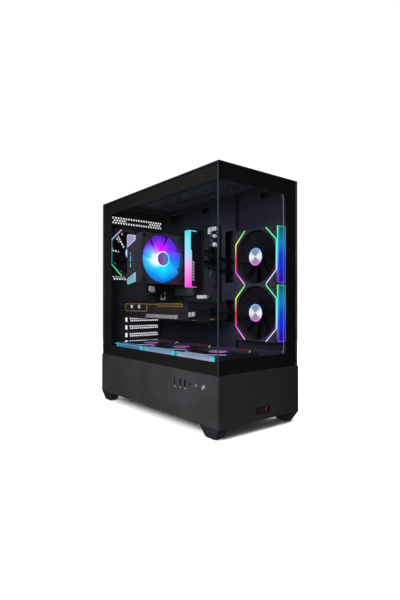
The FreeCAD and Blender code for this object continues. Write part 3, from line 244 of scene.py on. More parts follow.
# Painted highlight: pale strips for the lit cut edges of the ceiling's slots.
slot_painted_highlight = coating("slot_painted_highlight", (0.45, 0.44, 0.56), (0.62, 0.6, 0.74), (0.35, 0.5), 1600, SMOOTH, 0.3)
slate = coating("slate_heatsink", (0.045, 0.068, 0.062), (0.065, 0.092, 0.084),
    (0.3, 0.42), 2600, SATIN, 0.2)
pale_plastic = coating("pale_plastic", (0.55, 0.54, 0.56), (0.72, 0.71, 0.72), (0.35, 0.5), 1400, SATIN)
blue_plastic = coating("blue_plastic", (0.02, 0.10, 0.55), (0.03, 0.16, 0.75), (0.3, 0.42), 1400, SATIN)
red_paint = coating("red_paint", (0.32, 0.012, 0.012), (0.5, 0.02, 0.02), (0.3, 0.45), 1400, SMOOTH)
glass = clear_glass("tempered_glass", (0.93, 0.945, 0.95))


def board_finish():
    """A black circuit board: fine traces just under the varnish."""
    made, tree = material("circuit_board")
    turned = add(tree, "Mapping", {"Vector": place(tree), "Rotation": (0, math.radians(90), 0)})
    traces = add(tree, "TexBrick", {
        "Vector": turned.outputs["Vector"], "Scale": 60.0, "Mortar Size": 0.03, "Mortar Smooth": 0.3,
        "Brick Width": 0.9, "Row Height": 0.12, "Color1": (0.006, 0.007, 0.009, 1),
        "Color2": (0.010, 0.011, 0.014, 1), "Mortar": (0.03, 0.032, 0.036, 1)})
    surface = add(tree, "BsdfPrincipled", {
        "Base Color": traces.outputs["Color"],
        "Roughness": spread(tree, noise(tree, 80), 0.3, 0.5),
        "Normal": bump(tree, traces.outputs["Fac"], 0.00002),
        "Coat Weight": 0.2,
        "Coat Roughness": 0.3,
    })
    return finished(made, tree, surface.outputs["BSDF"])


circuit = board_finish()


def sleeve_finish():
    """Woven cable sleeve: two crossing waves of fine thread."""
    made, tree = material("cable_sleeve")
    waves = [
        add(tree, "TexWave", {"Vector": place(tree), "Scale": 260.0, "Distortion": 0.4},
            bands_direction=direction).outputs["Fac"]
        for direction in ("DIAGONAL", "Z")
    ]
    weave = maths(tree, "MULTIPLY", *waves)
    surface = add(tree, "BsdfPrincipled", {
        "Base Color": blend_colours(tree, weave, (0.003, 0.003, 0.004), (0.011, 0.011, 0.016)),
        "Roughness": spread(tree, weave, 0.5, 0.75),
        "Normal": bump(tree, weave, 0.0002),
        "Specular IOR Level": 0.12,
    })
    return finished(made, tree, surface.outputs["BSDF"])


sleeve = sleeve_finish()


def screen_finish(name, least, most):
    """Fine black nylon net, with so small a share of gaps between its threads."""
    made, tree = material(name)
    thread = noise(tree, 900, 2)
    dark = add(tree, "BsdfPrincipled", {
        "Base Color": blend_colours(tree, thread, (0.008, 0.008, 0.01), (0.02, 0.02, 0.024)),
        "Roughness": 0.7})
    gaps = add(tree, "BsdfTransparent", {"Color": (0.9, 0.9, 1.0, 1)})
    share = spread(tree, thread, least, most, 0.3, 0.7)
    mixed = add(tree, "MixShader", {0: share, 1: dark.outputs["BSDF"], 2: gaps.outputs["BSDF"]})
    return finished(made, tree, mixed.outputs["Shader"])


side_screen = screen_finish("side_screen", 0.05, 0.16)
top_screen = screen_finish("top_screen", 0.015, 0.05)


def cooler_blade_finish():
    """Frosted blades lit from the hub: violet above, azure below, white and magenta near the hub."""
    made, tree = material("lit_blades")
    x0, x1, y0, y1, z0, z1 = edges_mm("cooler_fan_rotor")
    centre = Vector(((x0 + x1) / 2, 0, (z0 + z1) / 2))
    reach = (z1 - z0) / 2
    up = spread(tree, axis(tree, "Z"), 0, 1, (centre.z - reach) * MM, (centre.z + reach) * MM)
    colour = ramp(tree, up, [
        (0.0, (0.0, 0.16, 1.0)), (0.3, (0.0, 0.4, 1.0)), (0.52, (0.01, 0.16, 1.0)),
        (0.72, (0.2, 0.02, 1.0)), (1.0, (0.17, 0.01, 0.75)),
    ])
    flat = add(tree, "VectorMath", {0: place(tree), 1: (1, 0, 1)}, operation="MULTIPLY").outputs["Vector"]
    spots = (
        ((-26, 0), 34, (0.1, 0.75, 1.0), 1.0),
        ((-15, -2), 21, (1.0, 1.0, 1.0), 1.0),
        ((-2, 24), 24, (0.85, 0.0, 0.9), 0.9),
        ((8, -24), 30, (0.0, 0.75, 1.0), 0.8),
    )
    for (aside, above), radius, tint, most in spots:
        spot = ((centre.x + aside) * MM, 0, (centre.z + above) * MM)
        away = add(tree, "VectorMath", {0: flat, 1: spot}, operation="DISTANCE").outputs["Value"]
        share = spread(tree, away, most, 0, 0.1 * radius * MM, radius * MM)
        colour = blend_colours(tree, share, colour, tint)
    middle = (centre.x * MM, 0, centre.z * MM)
    away = add(tree, "VectorMath", {0: flat, 1: middle}, operation="DISTANCE").outputs["Value"]
    power = spread(tree, away, 1.6, 0.85, 18 * MM, reach * MM)
    surface = add(tree, "BsdfPrincipled", {
        "Base Color": (0.01, 0.01, 0.02, 1),
        "Roughness": spread(tree, noise(tree, 260), 0.3, 0.45),
        "Emission Color": colour,
        "Emission Strength": power,
    })
    return finished(made, tree, surface.outputs["BSDF"])


cooler_blades = cooler_blade_finish()


def painted_glint_cap_finish(name, glow):
    """A spun aluminium disc: fine rings, the two bright fans of light that rings throw painted into its colour,
    and a painted glow as strong as glow.
    """
    made, tree = material(name)
    # Painted highlight: the colour swings twice round the disc from grey to white, and the same colour is given
    # out as emission, a painted glow.
    angle = add(tree, "TexGradient", {"Vector": place(tree)}, gradient_type="RADIAL").outputs["Fac"]
    turned = maths(tree, "ADD", maths(tree, "MULTIPLY", angle, 4 * math.pi), math.pi / 2)
    colour = ramp(tree, spread(tree, maths(tree, "SINE", turned), 0, 1, -1, 1), [
        (0.0, (0.34, 0.31, 0.36)), (0.42, (0.38, 0.35, 0.42)), (0.72, (0.75, 0.74, 0.82)), (0.9, WHITE)])
    rings = add(tree, "TexWave", {"Vector": place(tree), "Scale": 420.0}, wave_type="RINGS",
                rings_direction="Z").outputs["Fac"]
    surface = add(tree, "BsdfPrincipled", {
        "Base Color": colour,
        "Metallic": 0.75,
        "Roughness": spread(tree, rings, 0.28, 0.42),
        "Normal": bump(tree, rings, 0.00003),
        "Emission Color": colour,
        "Emission Strength": glow,
    })
    return finished(made, tree, surface.outputs["BSDF"])


# Painted light: the caps on the upright fans glow brightly and those on the floor fans barely, lit and shaded
# copies of one finish.
brushed_cap = painted_glint_cap_finish("brushed_cap", 0.7)
cap_painted_glint_floor = painted_glint_cap_finish("cap_painted_glint_floor", 0.08)

# --- mesh helpers


class Shape:
    """A mesh being put together in millimetres, one small solid at a time."""

    def __init__(self, *finishes):
        self.finishes = finishes
        self.points = []
        self.faces = []
        self.tones = []

    def take(self, part, tone, turn=None):
        part.verts.index_update()
        base = len(self.points)
        self.points += [(turn @ v.co if turn else v.co.copy()) for v in part.verts]
        self.faces += [[base + v.index for v in face.verts] for face in part.faces]
        self.tones += [tone] * len(part.faces)
        part.free()

    def block(self, x, y, z, edge=0.4, tone=0, turn=None):
        """A box with rounded edges."""
        part = bmesh.new()
        bmesh.ops.create_cube(part, size=1)
        sides = [high - low for low, high in (x, y, z)]
        middle = [(high + low) / 2 for low, high in (x, y, z)]
        for v in part.verts:
            v.co = Vector(c * s + m for c, s, m in zip(v.co, sides, middle))
        if edge:
            bmesh.ops.bevel(part, geom=part.edges[:], offset=min(edge, 0.45 * min(sides)), segments=2,
                            affect="EDGES", profile=0.5)
        self.take(part, tone, turn)

    def prism(self, outline, low, high, turn, edge=0.3, tone=0):
        """An outline of (u, v) points raised from low to high, then turned into place."""
        part = bmesh.new()
        face = part.faces.new([part.verts.new((u, v, low)) for u, v in outline])
        raised = bmesh.ops.extrude_face_region(part, geom=[face])["geom"]
        for item in raised:
            if isinstance(item, bmesh.types.BMVert):
                item.co.z = high
        if edge:
            rim = [e for e in part.edges if all(abs(v.co.z - high) < 1e-6 for v in e.verts)]
            bmesh.ops.bevel(part, geom=rim, offset=edge, segments=2, affect="EDGES", profile=0.5)
        bmesh.ops.recalc_face_normals(part, faces=part.faces[:])
        self.take(part, tone, turn)

    def plate(self, u, v, depth, turn, edge=0.3, tone=0):
        """A rectangle of u by v, raised between two depths."""
        (a, b), (c, d) = u, v
        self.prism([(a, c), (b, c), (b, d), (a, d)], *depth, turn, edge, tone)

    def lathe(self, profile, turn, steps=48, tone=0):
        """A profile of (radius, height) spun about the local z axis."""
        part = bmesh.new()
        rows = []
        for number in range(steps):
            a = 2 * math.pi * number / steps
            rows.append([part.verts.new((r * math.cos(a), r * math.sin(a), h)) for r, h in profile])
        for here, after in zip(rows, rows[1:] + rows[:1]):
            for k in range(len(profile) - 1):
                part.faces.new((here[k], after[k], after[k + 1], here[k + 1]))
        bmesh.ops.remove_doubles(part, verts=part.verts[:], dist=1e-5)
        if profile[0][0] > 1e-6:
            bmesh.ops.holes_fill(part, edges=part.edges[:])
        bmesh.ops.recalc_face_normals(part, faces=part.faces[:])
        self.take(part, tone, turn)

    def tube(self, points, radius, steps=12, tone=0):
        """A round run through the points, its corners smoothed."""
        path = smooth_path([Vector(p) for p in points])
        part = bmesh.new()
        side = None
        rows = []
        for number, point in enumerate(path):
            ahead = path[min(number + 1, len(path) - 1)] - path[max(number - 1, 0)]
            ahead.normalize()
            side = ahead.orthogonal() if side is None else side - ahead * side.dot(ahead)
            side.normalize()
            other = ahead.cross(side)
            ring = []
            for k in range(steps):
                a = 2 * math.pi * k / steps
                ring.append(part.verts.new(point + radius * (side * math.cos(a) + other * math.sin(a))))
            rows.append(ring)
        for here, after in zip(rows, rows[1:]):
            for k in range(steps):
                part.faces.new((here[k], here[(k + 1) % steps], after[(k + 1) % steps], after[k]))
        part.faces.new(reversed(rows[0]))
        part.faces.new(rows[-1])
        self.take(part, tone)

    def build(self, name, body=BASE, at=None):
        """The finished piece, riding on its body. at is its own place, if the points are local."""
        mesh = bpy.data.meshes.new(name)
        mesh.from_pydata([[c * MM for c in p] for p in self.points], [], self.faces)
        for finish in self.finishes:
            mesh.materials.append(finish)
        mesh.polygons.foreach_set("material_index", self.tones)
        mesh.polygons.foreach_set("use_smooth", [True] * len(self.faces))
        mesh.set_sharp_from_angle(angle=math.radians(32))
        mesh.update()
        made = bpy.data.objects.new(name, mesh)
        bpy.context.scene.collection.objects.link(made)
        if at:
            made.matrix_world = at
        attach(made, body)
        return made


def smooth_path(points, steps=6):
    """The points with extra ones between them, on a curve through them all."""
    if len(points) < 3:
        return points
    padded = [2 * points[0] - points[1], *points, 2 * points[-1] - points[-2]]
    path = []
    for a, b, c, d in zip(padded, padded[1:], padded[2:], padded[3:]):
        for k in range(steps):
            t = k / steps
            path.append(0.5 * (2 * b + (c - a) * t + (2 * a - 5 * b + 4 * c - d) * t * t
                               + (3 * b - a - 3 * c + d) * t ** 3))
    path.append(points[-1])
    return path


def facing(direction, at=(0, 0, 0)):
    """Turns local axes (right, up, out) so that out points along the direction, at a place."""
    out = Vector(direction)
    up = Vector((0, 0, 1)) if abs(out.z) < 0.9 else Vector((1, 0, 0))
    right = up.cross(out)
    turn = Matrix((right, up, out)).transposed().to_4x4()
    return Matrix.Translation(Vector(at)) @ turn


def placed(direction, at):
    """The same, in metres, as a piece's own place."""
    return Matrix.Translation(Vector(at) * MM) @ facing(direction)


# --- carried-over CAD nodes

SLOT_FINISHES = {
    "coated_steel": steel,
    "tempered_glass": glass,
    "black_plastic": black_plastic,
    "rubber": rubber,
    "fan_blades": blades,
    "lit_blades": cooler_blades,
    "circuit_board": circuit,
    "anodised_black": anodised,
    "bare_aluminium": aluminium,
    "plated_steel": plated,
    "copper": copper,
    "cable_sleeve": sleeve,
}
OWN_FINISHES = {"board_heatsinks": slate, "usb_sockets": anodised, "top_dust_filter": top_screen}
# The inside sheet metal and the fan frames take finishes whose bluish tint is painted glow.
for name in ("motherboard_tray", "power_supply_shroud", "card_slot_covers", "top_cover", "supply_case"):
    OWN_FINISHES[name] = inner_steel_painted_tint
for name in ("rear_fan_frame", "side_fan_frames", "floor_fan_frames", "cooler_fan_frame", "cooler_cover"):
    OWN_FINISHES[name] = fan_frame

for name, piece in NODES.items():
    slot_name = piece.data.materials[0].name.split(".")[0]
    finish = OWN_FINISHES.get(name) or SLOT_FINISHES.get(slot_name)
    if finish:
        piece.data.materials.clear()
        piece.data.materials.append(finish)

# --- glass panes

glass_edge = coating("glass_edge", (0.007, 0.013, 0.018), (0.014, 0.024, 0.031), (0.25, 0.4), 600, SMOOTH)


def polished_edges(name, flat_axis):
    """The four narrow faces of a pane take the look of ground and polished glass."""
    piece = NODES[name]
    piece.data.materials.append(glass_edge)
    for face in piece.data.polygons:
        if abs(face.normal[flat_axis]) < 0.5:
            face.material_index = 1


polished_edges("left_glass", 0)
polished_edges("front_glass", 1)

BORDER_GAP = 0.06
BORDER_THICK = 0.16
WINDOW_LOW = 138.0
WINDOW_HIGH = 464.0
LEFT_WINDOW_BACK = 182.5
FRONT_WINDOW_RIGHT = 76.5


def printed_border(pane, turn, wide, clear, clear_low):
    """The black print inside a pane: it leaves the window open, from the pane's first edge to clear."""
    shape = Shape(ceramic)
    low, high = edges_mm(pane)[4:]
    beside = (clear, wide[1])
    for u, v in ((wide, (WINDOW_HIGH, high)), (wide, (low, clear_low)), (beside, (clear_low, WINDOW_HIGH))):
        shape.plate(u, v, (0, BORDER_THICK), turn, 0)
    shape.build(f"{pane}_border", pane)


_, pane_inside, *left_wide = edges_mm("left_glass")[:4]
left_turn = Matrix(((0, 0, 1, pane_inside + BORDER_GAP), (1, 0, 0, 0), (0, 1, 0, 0), (0, 0, 0, 1)))
printed_border("left_glass", left_turn, left_wide, LEFT_WINDOW_BACK, WINDOW_LOW)
pane_left, pane_right, _, pane_inside = edges_mm("front_glass")[:4]
front_turn = Matrix(((1, 0, 0, 0), (0, 0, 1, pane_inside + BORDER_GAP), (0, 1, 0, 0), (0, 0, 0, 1)))
printed_border("front_glass", front_turn, (pane_left + 1, pane_right), FRONT_WINDOW_RIGHT, WINDOW_LOW + 3)

# --- case fans

HALF_FAN = 60
RAIL_REACH = 58.5
PROUD = 0.02  # how far the foot of a laid-on detail stands off the face behind it
SIDE_FANS = ("side_fan_lower", "side_fan_upper")
FLOOR_FANS = ("floor_fan_rear", "floor_fan_middle", "floor_fan_front")
CASE_FANS = {
    "rear_fan": LOOK_FRONT,
    **{name: LOOK_LEFT for name in SIDE_FANS},
    **{name: LOOK_UP for name in FLOOR_FANS},
}
HUB_CAP = [(0, 0.05), (0, 0.75), (9, 0.72), (15.9, 0.6), (16.8, 0.42), (17.0, 0.05)]
HUB_RIM = [(17.1, 0.05), (17.2, 0.6), (18.1, 0.65), (18.8, 0.35), (18.9, 0.05)]


def middle_mm(name):
    x0, x1, y0, y1, z0, z1 = edges_mm(name)
    return Vector(((x0 + x1) / 2, (y0 + y1) / 2, (z0 + z1) / 2))


def around(middle, reach=HALF_FAN):
    return middle - reach, middle + reach


rim_side = lit("hub_rim_upright", "Y", -20, 20, [
    (0.0, MAGENTA), (0.2, MAGENTA), (0.42, LAVENDER), (0.6, SKY), (1.0, (0.0, 0.45, 1.0))], 1.3)
rim_floor = lit("hub_rim_floor", "X", -20, 20, [
    (0.0, AZURE), (0.4, VIOLET), (0.8, MAGENTA), (1.0, MAGENTA)], 0.9)


def hub_front(rotor, way):
    """The middle of the side of a rotor's box that faces along the way."""
    at = middle_mm(rotor)
    box = edges_mm(rotor)
    for k in range(3):
        if way[k]:
            at[k] = box[2 * k + 1] if way[k] > 0 else box[2 * k]
    return at


def hub_caps():
    """A spun metal cap on each case fan's hub, in a lit rim."""
    still = Matrix.Identity(4)
    for name, way in CASE_FANS.items():
        rotor = f"{name}_rotor"
        # the floor fans' caps take the dim, shaded copy of the painted glint; the upright fans' caps take the
        # bright one
        shape = Shape(*((cap_painted_glint_floor, rim_floor) if way[2] else (brushed_cap, rim_side)))
        shape.lathe(HUB_CAP, still, 64, 0)
        shape.lathe(HUB_RIM, still, 64, 1)
        shape.build(f"{name}_hub_cap", rotor, placed(way, hub_front(rotor, way)))


hub_caps()

# Each fan's lights take their colours along one axis of the fan, by the side that they are on.
guides = NODES["fan_light_guides"]
guides.data.materials.clear()


def guide_colours():
    """One finish for each run of light guides: the place that it covers picks its faces."""
    runs = []

    def run(name, letter, span, stops, strength, x, y, z, body=GUIDE_BODY):
        runs.append((lit(name, letter, *span, stops, strength, body), x, y, z))

    for name in SIDE_FANS:
        at = middle_mm(f"{name}_rotor")
        height = around(at.z)
        run(f"{name}_line_left", "Z", height, [
            (0.03, PINK), (0.22, MAGENTA), (0.36, RED), (0.5, RED), (0.62, ORANGE), (0.74, YELLOW),
            (0.97, GREEN)], 1.6, (60, 64), (at.y + 20, at.y + 62), height)
        run(f"{name}_line_right", "Z", height, [
            (0.03, LAVENDER), (0.25, LAVENDER), (0.4, SKY), (0.6, CYAN), (0.8, SEA), (0.97, GREEN)],
            1.5, (60, 64), (at.y - 62, at.y - 20), height)
        run(f"{name}_bar", "Z", height, [
            (0.0, (0.03, 0.0, 0.18)), (0.1, (0.02, 0.0, 0.45)), (0.3, (0.0, 0.03, 1.0)),
            (0.5, (0.0, 0.05, 0.75)), (0.68, (0.0, 0.3, 0.9)), (0.85, (0.0, 0.28, 0.4)),
            (1.0, (0.0, 0.04, 0.07))], 0.8, (60, 90), (at.y - 70, at.y - 58), height, (0.02, 0.03, 0.05))
    at = middle_mm("rear_fan_rotor")
    height = around(at.z)
    depth = (190, 225)
    run("rear_fan_bar", "Z", height, [(0.0, TEAL), (0.3, CYAN), (0.6, BLUE), (1.0, VIOLET)],
        1.3, (-110, -97), depth, height)
    run("rear_fan_line_left", "Z", height, [
        (0.03, GREEN), (0.25, SEA), (0.45, CYAN), (0.75, SKY), (0.97, PINK)],
        1.5, (-99, at.x - 20), depth, height)
    run("rear_fan_line_right", "Z", height, [(0.03, GREEN), (0.3, YELLOW), (0.6, ORANGE), (0.97, RED)],
        1.2, (at.x + 20, at.x + 62), depth, height)
    glows = ((0.02, 0.17, 0.33), (0.22, 0.3, 0.52), (0.4, 0.34, 0.54))
    end_glow = (0.02, 0.5, 0.45)
    height = (100, 150)
    for name, glow in zip(FLOOR_FANS, glows):
        at = middle_mm(f"{name}_rotor")
        length = around(at.y)
        whole = around(at.y, HALF_FAN + 1)
        edge_glow = [1.2 * value for value in glow]
        run(f"{name}_bar", "Y", length, [
            (0.0, CYAN), (0.06, CYAN), (0.09, edge_glow), (0.5, glow), (0.91, edge_glow),
            (0.94, end_glow), (1.0, end_glow)], 0.9, (-110, -90), whole, height, (0.06, 0.06, 0.07))
        run(f"{name}_line_far", "Y", length, [
            (0.0, (0.3, 0.6, 0.0)), (0.17, (0.5, 0.7, 0.0)), (0.21, (0.2, 0.01, 0.0)),
            (0.5, (0.13, 0.0, 0.03)), (0.76, (0.12, 0.0, 0.1)), (1.0, (0.07, 0.0, 0.13))],
            0.9, (at.x + 20, at.x + 64), whole, height, (0.02, 0.02, 0.02))
        run(f"{name}_line_near", "Y", length, [
            (0.0, LAVENDER), (0.24, LAVENDER), (0.3, (0.0, 0.1, 0.14)), (0.72, (0.0, 0.1, 0.2)),
            (0.8, PURPLE), (1.0, PURPLE)],
            0.8, (at.x - 63, at.x - 20), whole, height, (0.03, 0.03, 0.03))
    return runs


def colour_guides():
    runs = guide_colours()
    for finish, *_ in runs:
        guides.data.materials.append(finish)
    for face in guides.data.polygons:
        spot = face.center / MM
        for number, (_, *ranges) in enumerate(runs):
            if all(low <= c <= high for c, (low, high) in zip(spot, ranges)):
                face.material_index = number
                break


colour_guides()


def bar_rails():
    """Bright rails round the faces of the side and floor fans' light bars."""
    tall = [
        lit(f"{name}_rail", "Z", *around(middle_mm(f"{name}_rotor").z), [
            (0.0, (0.12, 0.03, 0.9)), (0.12, (0.15, 0.05, 0.75)), (0.35, (0.03, 0.12, 0.8)),
            (0.55, (0.04, 0.3, 0.75)), (0.8, (0.0, 0.4, 0.45)), (1.0, (0.0, 0.5, 0.32))],
            0.95, (0.03, 0.03, 0.04))
        for name in SIDE_FANS
    ]
    long_rail = lit("floor_fan_rail", "X", -110, -90, [
        (0.0, (0.0, 0.45, 0.5)), (0.5, (0.05, 0.35, 0.5)), (1.0, (0.0, 0.3, 0.4))], 0.8, (0.05, 0.05, 0.05))
    shape = Shape(*tall, long_rail)
    face = facing(LOOK_FRONT, (0, edges_mm("fan_light_guides")[2], 0))
    bar_x = edges_mm("side_fan_frames")[0]
    near, far = (bar_x + 0.8, bar_x + 3.2), (bar_x + 22, bar_x + 24.2)
    between = (near[1], far[0])
    for number, name in enumerate(SIDE_FANS):
        low, high = around(middle_mm(f"{name}_rotor").z, RAIL_REACH)
        for u, v in (
                (near, (low, high)), (far, (low, high)), (between, (high - 3, high)), (between, (low, low + 3))):
            shape.plate(u, v, (PROUD, 0.8), face, 0.25, number)
    side = facing(LOOK_LEFT, (edges_mm("fan_light_guides")[0], 0, 0))
    top = edges_mm("floor_fan_frames")[5]
    for name in FLOOR_FANS:
        length = around(-middle_mm(f"{name}_rotor").y, RAIL_REACH)
        shape.plate(length, (top - 3.2, top - 0.8), (PROUD, 0.7), side, 0.25, 2)
    shape.build("light_bar_rails")


bar_rails()

# --- processor cooler


def cooler_hub():
    """A smoky hub disc in a bright ring, on the cooler's fan."""
    smoke = lit("hub_smoke", "X", -16, 16, [
        (0.0, (0.25, 0.02, 0.6)), (0.45, (0.45, 0.05, 0.6)),
        (0.62, (0.02, 0.35, 0.9)), (1.0, (0.02, 0.3, 0.9))], 0.55)
    ring = lit("hub_ring", "X", -18, 18, [(0.0, WHITE), (0.4, (0.75, 0.8, 1.0)), (1.0, (0.1, 0.6, 1.0))], 1.8)
    shape = Shape(smoke, ring)
    still = Matrix.Identity(4)
    shape.lathe([(0, 0.05), (0, 0.7), (10, 0.66), (15.6, 0.5), (16.2, 0.05)], still, 64, 0)
    shape.lathe([(16.4, 0.05), (16.5, 1.0), (17.5, 1.0), (17.8, 0.05)], still, 64, 1)
    rotor = "cooler_fan_rotor"
    shape.build("cooler_hub_cap", rotor, placed(LOOK_FRONT, hub_front(rotor, LOOK_FRONT)))


def cooler_cover_lights():
    """Two lit corner prisms and a small mark on the side of the cooler."""
    x0, _, _, y1, z0, z1 = edges_mm("cooler_cover")
    prism_reach = 32
    rim_up = lit("prism_rim_upper", "Z", z0, z1, [(0.0, LAVENDER), (1.0, (0.75, 0.65, 1.0))], 1.1)
    rim_low = lit("prism_rim_lower", "Z", z0, z1, [(0.0, CYAN), (0.3, (0.2, 0.85, 0.9)), (1.0, CYAN)], 1.1)
    core_up = lit("prism_core_upper", "Z", z1 - prism_reach, z1, [
        (0.0, (0.4, 0.42, 0.75)), (1.0, (0.62, 0.5, 0.85))], 0.65)
    core_low = lit("prism_core_lower", "Z", z0, z0 + prism_reach, [
        (0.0, (0.3, 0.75, 0.8)), (1.0, (0.35, 0.5, 0.6))], 0.6)
    shape = Shape(rim_up, core_up, rim_low, core_low)
    turn = facing(LOOK_LEFT, (x0, 0, 0))
    edge, point, inside = -y1 + 0.6, -129, 0.86
    upper = [(edge, z1 - 33), (-94.6, z1 - 18.5), (-94.6, z1 - 8), (point, z1 - 1.6), (edge, z1 - 5.2)]
    lower = [(edge, z0 + 5), (point, z0 + 1.6), (-94.2, z0 + 7), (-94.2, z0 + 29), (edge, z0 + 15)]
    for outline, rim, core in ((upper, 0, 1), (lower, 2, 3)):
        middle = Vector([sum(c) / len(outline) for c in zip(*outline)])
        inner = [middle + (Vector(corner) - middle) * inside for corner in outline]
        shape.prism(outline, 0.05, 0.9, turn, 0.2, rim)
        shape.prism([tuple(corner) for corner in inner], 0.9, 1.4, turn, 0.3, core)
    left, right = -118.6, -116.6
    for low, high in ((328, 339), (342, 356), (359, 364)):
        shape.prism([(left, low), (right, low + 1), (right, high), (left, high - 1)], 0.05, 0.4, turn, 0.1, 2)
    shape.build("cooler_cover_lights")


def fan_screws():
    """A screw head in each corner of the cooler's fan."""
    shape = Shape(anodised, black_plastic)
    at = middle_mm("cooler_fan_frame")
    y_front = edges_mm("cooler_fan_frame")[2]
    corner = 52.5
    head = [(0, -0.8), (0, -0.1), (0.9, -0.1), (1.1, 0.35), (3.0, 0.3), (3.4, 0.05), (3.4, -0.2)]
    washer = [(3.5, 0.02), (3.6, 0.3), (4.3, 0.3), (4.5, 0.02)]
    for aside in (-corner, corner):
        for above in (-corner, corner):
            turn = facing(LOOK_FRONT, (at.x + aside, y_front, at.z + above))
            shape.lathe(head, turn, 20, 0)
            shape.lathe(washer, turn, 24, 1)
    shape.build("fan_screw_heads")


cooler_hub()
cooler_cover_lights()
fan_screws()

# --- memory


def memory_details():
    """Slanted dashes and ribs on the near module, and the latches of its slots."""
    _, _, y0, _, z0, z1 = edges_mm("memory_light_bars")
    dashes = lit("memory_dashes", "Z", z0, z1, [(0.0, (1.0, 0.3, 0.6)), (0.16, WHITE), (1.0, WHITE)], 0.7)
    shape = Shape(dashes, anodised)
    turn = facing(LOOK_FRONT, (0, y0, 0))
    left, right = 31.6, 37.4
    for k in range(7):
        low = z0 + 15 + 7.1 * k
        shape.prism([(left, low + 4.2), (left, low + 6.6), (right, low + 2.4), (right, low)],
                    PROUD, 0.25, turn, 0.05, 0)
    for rib in (41, 45, 49):
        shape.plate((rib, rib + 1), (z0 + 12, z1 - 14), (PROUD, 0.4), turn, 0.15, 1)
    x0, _, _, y1, z0, z1 = edges_mm("memory_slots")
    slot_pitch = 9.3
    for z, side in ((z0, -1), (z1, 1)):
        for k in range(2):
            y = y1 - 3.2 - slot_pitch * k
            latch = sorted((z - side * 7, z + side * 0.5))
            shape.block((x0 - 6, x0 + 1), (y - 2.6, y + 2.6), latch, 0.8, 1)
    shape.build("memory_details")


light_bars = NODES["memory_light_bars"]
light_bars.data.materials.clear()
light_bars.data.materials.append(lit("memory_bar", "Z", *edges_mm("memory_light_bars")[4:], [
    (0.0, MAGENTA), (0.14, (1.0, 0.1, 0.75)), (0.34, (0.95, 0.3, 0.85)), (0.5, (0.6, 0.6, 0.95)),
    (0.62, (0.3, 0.75, 0.95)), (0.85, (0.12, 0.8, 0.9)), (1.0, (0.05, 0.7, 0.7))], 1.15))
memory_details()

# --- motherboard

BOARD_FACE = edges_mm("motherboard")[0]
CAPACITOR = [(0, 0), (0, 8.6), (2.4, 8.8), (3.0, 8.3), (3.1, 0)]
WIDE_CAPACITOR = [(0, 0), (0, 8.6), (2.6, 8.8), (3.3, 8.2), (3.4, 0)]


def board_block(shape, depth, y, z, edge=0.4, tone=0):
    """A component that stands so far out from the board."""
    shape.block((BOARD_FACE - depth, BOARD_FACE - PROUD), y, z, edge, tone)


def board_can(shape, profile, y, z):
    """A round capacitor on the board."""
    shape.lathe(profile, facing(LOOK_LEFT, (BOARD_FACE, y, z)), 20, 1)


def scattered(shape, generator, count, y_range, z_range, sizes, depths, edge, tones):
    """Small chips at random places in a part of the board."""
    for _ in range(count):
        y = generator.uniform(*y_range)
        z = generator.uniform(*z_range)
        wide, tall = generator.choice(sizes)
        board_block(
            shape, generator.uniform(*depths), (y, y + wide), (z, z + tall), edge, generator.choice(tones))


def board_components():
    """Chokes, capacitors, chips and headers of the motherboard."""
    shape = Shape(black_plastic, aluminium, pale_plastic, anodised, brass)
    for k in range(8):
        z = 306 + 10.5 * k
        board_block(shape, 7, (152, 161), (z, z + 8.4), 1.2, 3)
        board_can(shape, CAPACITOR, 145, z + 4)
    for k in range(6):
        board_block(shape, 7, (76 + 11 * k, 85 + 11 * k), (391, 399), 1.2, 3)
        board_can(shape, CAPACITOR, 80 + 11 * k, 386)
    generator = random.Random(7)
    chips = ((1.2, 2.0), (2.0, 1.2), (2.4, 1.4), (3.0, 3.0))
    scattered(shape, generator, 150, (-22, 205), (186, 300), chips, (0.6, 1.3), 0.15, (0, 1, 3))
    chips = ((1.2, 2.0), (2.0, 1.2), (2.6, 1.6))
    scattered(shape, generator, 70, (-24, 10), (300, 424), chips, (0.6, 1.3), 0.15, (0, 1, 2))
    for y, z, side in ((-20, 272, 14), (12, 240, 9), (100, 214, 12), (176, 276, 10), (30, 214, 7)):
        board_block(shape, 1.6, (y, y + side), (z, z + side), 0.3, 0)
    # the pale cluster beside the memory: headers, small capacitors and the clips of the main socket
    chips = ((1.6, 2.6), (2.6, 1.8), (3.2, 2.0), (2.2, 4.0))
    scattered(shape, generator, 60, (-24, -2), (352, 424), chips, (1.5, 6), 0.3, (1, 2, 2))
    for k in range(5):
        z = 412 - 10 * k
        board_can(shape, WIDE_CAPACITOR, -8 + 2 * (k % 2), z)
        board_block(shape, 9, (-22, -13), (z - 3.5, z + 3), 0.6, 2 if k % 2 else 3)
    for depth, y, z, edge, tone in (
        (8.5, (-4, 6), (408, 424), 0.6, 2),
        (8.5, (-24, -8), (414, 424), 0.6, 2),
        (9, (-25, -12), (300, 318), 0.8, 0),
        (10, (-24, -9), (282, 297), 0.8, 0),
        (7.5, (14, 50), (253.5, 262), 0.8, 2),
        (5, (-2, 11), (254, 261), 0.6, 1),
    ):
        board_block(shape, depth, y, z, edge, tone)
    for k in range(9):
        shape.block((BOARD_FACE - 15, BOARD_FACE - 9), (40 + 11 * k, 40.6 + 11 * k), (186.5, 187.1), 0.1, 4)
    shape.build("board_components")


